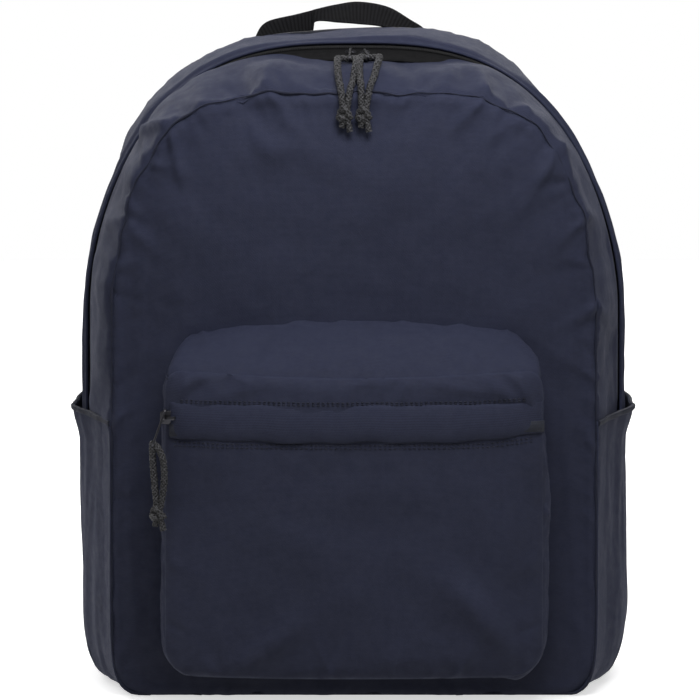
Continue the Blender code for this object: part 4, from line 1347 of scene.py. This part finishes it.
def strap_pad(word, top, down, out):
    """A padded strap: a crowned outer face of navy cloth over an air-mesh inner face."""
    shares = [i / (PAD_ROWS - 1) for i in range(PAD_ROWS)]

    def spot(s, t, lift=0.0):
        return top + down * (0.002 + PAD_LENGTH * s) + Vector((t * pad_half(s), 0, 0)) + out * lift

    parts = []
    for face, look in ((1, "navy"), (-1, "mesh")):
        grid = []
        for s in shares:
            row = []
            for t in np.linspace(-1, 1, 28):
                seam = -0.0010 * bell(abs(t) - PAD_SEAM, 0.05) if face > 0 else 0.0
                lump = noise.noise(Vector((t * 2.0 + PAD_SEEDS[word], s * 9.0, face * 3.0))) * 0.0005
                row.append(spot(s, t, face * (0.0006 + pad_crown(s, t) + seam + lump)))
            grid.append(row)
        uv = lambda a, b: (b * 0.0022, a * PAD_LENGTH / PAD_ROWS)
        parts.append(grid_mesh(f"pad_{word}", np.array(grid), uv, look, inside=top + down * 0.09))
    for side in (-1, 1):
        parts.append(tube(f"rim_{word}", [spot(s, side) for s in shares], 0.0016, "binding", 10))
    for side in (-1, 1):
        line = [spot(s, side * PAD_SEAM, pad_crown(s, PAD_SEAM) - 0.0003) for s in shares[2:-2]]
        parts.append(stitches(f"row_{word}", line, tuple(out)))
    return join(f"strap_pad_{word}_cushion", parts)


def strap_run(name, origin, down, out, steps, count, width, thickness):
    """Webbing through points given as distances down the strap and out from it."""
    path = spline([origin + down * along + out * off for along, off in steps], count)
    return ribbon(name, path, [(1, 0, 0)] * count, width, thickness, "webbing")


def strap_loop(word, top, down, out, lock):
    """Short webbing from the pad round the ladder lock's top bar."""
    reach = (lock - top).length
    steps = ((0.160, 0.0070), (0.176, 0.0030), (reach - 0.012, 0.0015), (reach - 0.0020, 0.0024),
             (reach + 0.0010, -0.0010), (reach - 0.006, -0.0030), (0.185, -0.0012), (0.172, -0.0016))
    return strap_run(f"strap_loop_{word}_webbing", top, down, out, steps, 60, WEBBING_WIDTH, 0.0014)


def buckle(word, lock, foot):
    """An injection-moulded ladder lock: two rails, three bars and a thumb lip."""
    rise = (lock - foot).normalized()
    place = frame_at(lock, (1, 0, 0), Vector((0, rise.z, -rise.y)))
    parts = []
    for x in (-0.0155, 0.0155):
        where = place @ Matrix.Translation((x, -0.0040, 0.0))
        parts.append(rounded_block("rail", (0.0034, 0.0250, 0.0060), where, "plastic", 0.0009))
    for y, z, height in ((0.0070, 0.0010, 0.0030), (-0.0035, -0.0016, 0.0030), (-0.0130, 0.0012, 0.0036)):
        where = place @ Matrix.Translation((0, y, z))
        parts.append(rounded_block("bar", (0.0300, 0.0034, height), where, "plastic", 0.0008))
    lip = place @ Matrix.Translation((0, -0.0185, 0.0028)) @ Matrix.Rotation(math.radians(-24), 4, "X")
    parts.append(rounded_block("lip", (0.0310, 0.0085, 0.0022), lip, "plastic", 0.0008))
    settle(join(f"ladder_lock_{word}_moulding", parts), f"strap_lock_{word}", f"ladder_lock_{word}")


def lower_webbing(word, lock, foot):
    """Webbing from the sewn anchor tab up to the ladder lock, and its free tail."""
    rise = (lock - foot).normalized()
    out = Vector((0, rise.z, -rise.y))
    reach = (lock - foot).length
    steps = ((-0.014, -0.002), (0.004, 0.0), (reach * 0.5, 0.0006), (reach - 0.010, 0.0),
             (reach - 0.004, 0.0004))
    made = strap_run(f"lower_webbing_{word}_strap", foot, rise, out, steps, 60, WEBBING_WIDTH, WEBBING_THICK)
    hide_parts(f"lower_webbing_{word}")
    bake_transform(made)
    steps = ((0.004, 0.0008), (0.010, 0.0042), (0.017, 0.0040), (0.030, 0.0090), (0.060, 0.0120),
             (0.090, 0.0100))
    narrow = WEBBING_WIDTH - 0.0002
    tail = strap_run(f"webbing_tail_{word}", lock, -rise, out, steps, 70, narrow, WEBBING_THICK)
    settle(tail, f"strap_lock_{word}")
    low = foot + Vector((0, -0.0035, -0.011))
    settle(cushion(f"strap_anchor_{word}_tab", (0.0360, 0.0060, 0.0240), low), "bag", f"strap_anchor_{word}")


def cushion(name, size, middle):
    """A small sewn pad: crowned on both faces, with a row of stitches round its edge."""
    width, depth, height = size
    line = np.linspace(-1, 1, 22)
    s, t = np.meshgrid(line, line, indexing="ij")
    rise = ((1 - np.abs(s) ** 8) * (1 - np.abs(t) ** 8)) ** 0.6
    x, z = s * width / 2, t * height / 2
    parts = []
    for sign in (1, -1):
        grid = np.stack([x, sign * depth / 2 * rise, z], axis=-1) + np.array(middle)
        parts.append(grid_mesh(name, grid, np.stack([x, z], axis=-1), "navy", inside=middle))
    corners = [np.array((a * 0.41 * width, 0.43 * depth, b * 0.39 * height)) + np.array(middle)
               for a, b in ((-1, -1), (1, -1), (1, 1), (-1, 1), (-1, -1))]
    row = [start + (end - start) * k / 12 for start, end in zip(corners, corners[1:]) for k in range(12)]
    parts.append(stitches(f"{name}_row", row, (0, 1, 0)))
    return join(name, parts)


def build_all():
    build_front_panel()
    build_seam()
    gusset_grid = build_gussets()
    build_zip()
    build_main_pulls(gusset_grid)
    build_pocket_walls()
    build_pocket_front()
    build_pocket_zip()
    build_pocket_pull()
    build_side_pockets()
    build_back()
    build_handle()
    build_straps()
    yoke = cushion("strap_yoke_cloth", (0.1840, 0.0050, 0.0190), (0.0, 0.0655, 0.3570))
    settle(yoke, "bag", "strap_yoke")


# =====================================================================================
# stage
# =====================================================================================
CAMERA_ELEVATION = math.radians(9)
CAMERA_DISTANCE = 10.0
CAMERA_TARGET = Vector((-0.0024, -0.060, 0.2143))
FRAME_WIDTH = 0.427
SENSOR_WIDTH = 36.0
FLOOR_HALF = 1.7
# name, place, size and power
LAMPS = (
    ("key", (0.10, -0.44, 0.88), 0.40, 4.0),
    ("top", (0.15, 0.55, 1.15), 0.9, 0.5),
    ("right", (0.55, 1.60, 0.95), 0.6, 12.0),
    ("left", (-0.80, 1.15, 0.90), 0.7, 13.0),
    ("fill", (-1.2, -2.6, 0.8), 1.5, 2.5),
)


def build_floor():
    """A pale floor that glows a little, so that it reads as a lit studio sweep."""
    n = Nodes("pale_floor")
    look = n.finish(
        Emission_Color=(1.0, 1.0, 1.0, 1.0),
        Emission_Strength=0.60,
        Base_Color=(0.80, 0.80, 0.80, 1.0),
        Roughness=0.7,
    )
    corners = [(x * FLOOR_HALF, y * FLOOR_HALF, 0) for x, y in ((-1, -1), (1, -1), (1, 1), (-1, 1))]
    mesh = bpy.data.meshes.new("floor")
    mesh.from_pydata(corners, [], [(0, 1, 2, 3)])
    mesh.materials.append(look)
    floor = bpy.data.objects.new("floor", mesh)
    bpy.context.scene.collection.objects.link(floor)
    floor.visible_diffuse = False


def sky_light(tree):
    """A white backdrop to the eye, and soft light that comes mostly from overhead."""
    direction = tree.nodes.new("ShaderNodeTexCoord")
    split = tree.nodes.new("ShaderNodeSeparateXYZ")
    tree.links.new(direction.outputs["Generated"], split.inputs[0])
    ramp = tree.nodes.new("ShaderNodeMapRange")
    for socket, value in zip(ramp.inputs[1:], (-0.3, 1.0, 0.09, 0.45)):
        socket.default_value = value
    tree.links.new(split.outputs[2], ramp.inputs[0])
    path = tree.nodes.new("ShaderNodeLightPath")
    choose = tree.nodes.new("ShaderNodeMix")
    choose.inputs[3].default_value = 1.0
    tree.links.new(path.outputs["Is Camera Ray"], choose.inputs[0])
    tree.links.new(ramp.outputs[0], choose.inputs[2])
    tree.links.new(choose.outputs[0], tree.nodes["Background"].inputs[1])
    tree.nodes["Background"].inputs[0].default_value = (1.0, 1.0, 1.0, 1.0)


def place_at(name, data, place):
    """A lamp or camera at a place, turned to the camera's target."""
    thing = bpy.data.objects.new(name, data)
    thing.location = place
    thing.rotation_euler = (CAMERA_TARGET - Vector(place)).to_track_quat("-Z", "Y").to_euler()
    bpy.context.scene.collection.objects.link(thing)
    return thing


def build_stage():
    scene = bpy.context.scene
    build_floor()
    scene.world = bpy.data.worlds.new("studio")
    scene.world.use_nodes = True
    sky_light(scene.world.node_tree)
    for name, place, size, power in LAMPS:
        light = bpy.data.lights.new(name, "AREA")
        light.energy = power
        light.size = size
        place_at(name, light, place)
    camera = bpy.data.cameras.new("camera")
    camera.lens = SENSOR_WIDTH * CAMERA_DISTANCE / FRAME_WIDTH
    camera.sensor_width = SENSOR_WIDTH
    camera.clip_end = 40.0
    away = Vector((0, -math.cos(CAMERA_ELEVATION), math.sin(CAMERA_ELEVATION)))
    scene.camera = place_at("camera", camera, CAMERA_TARGET + away * CAMERA_DISTANCE)
    scene.view_settings.view_transform = "Standard"


build_all()
build_stage()
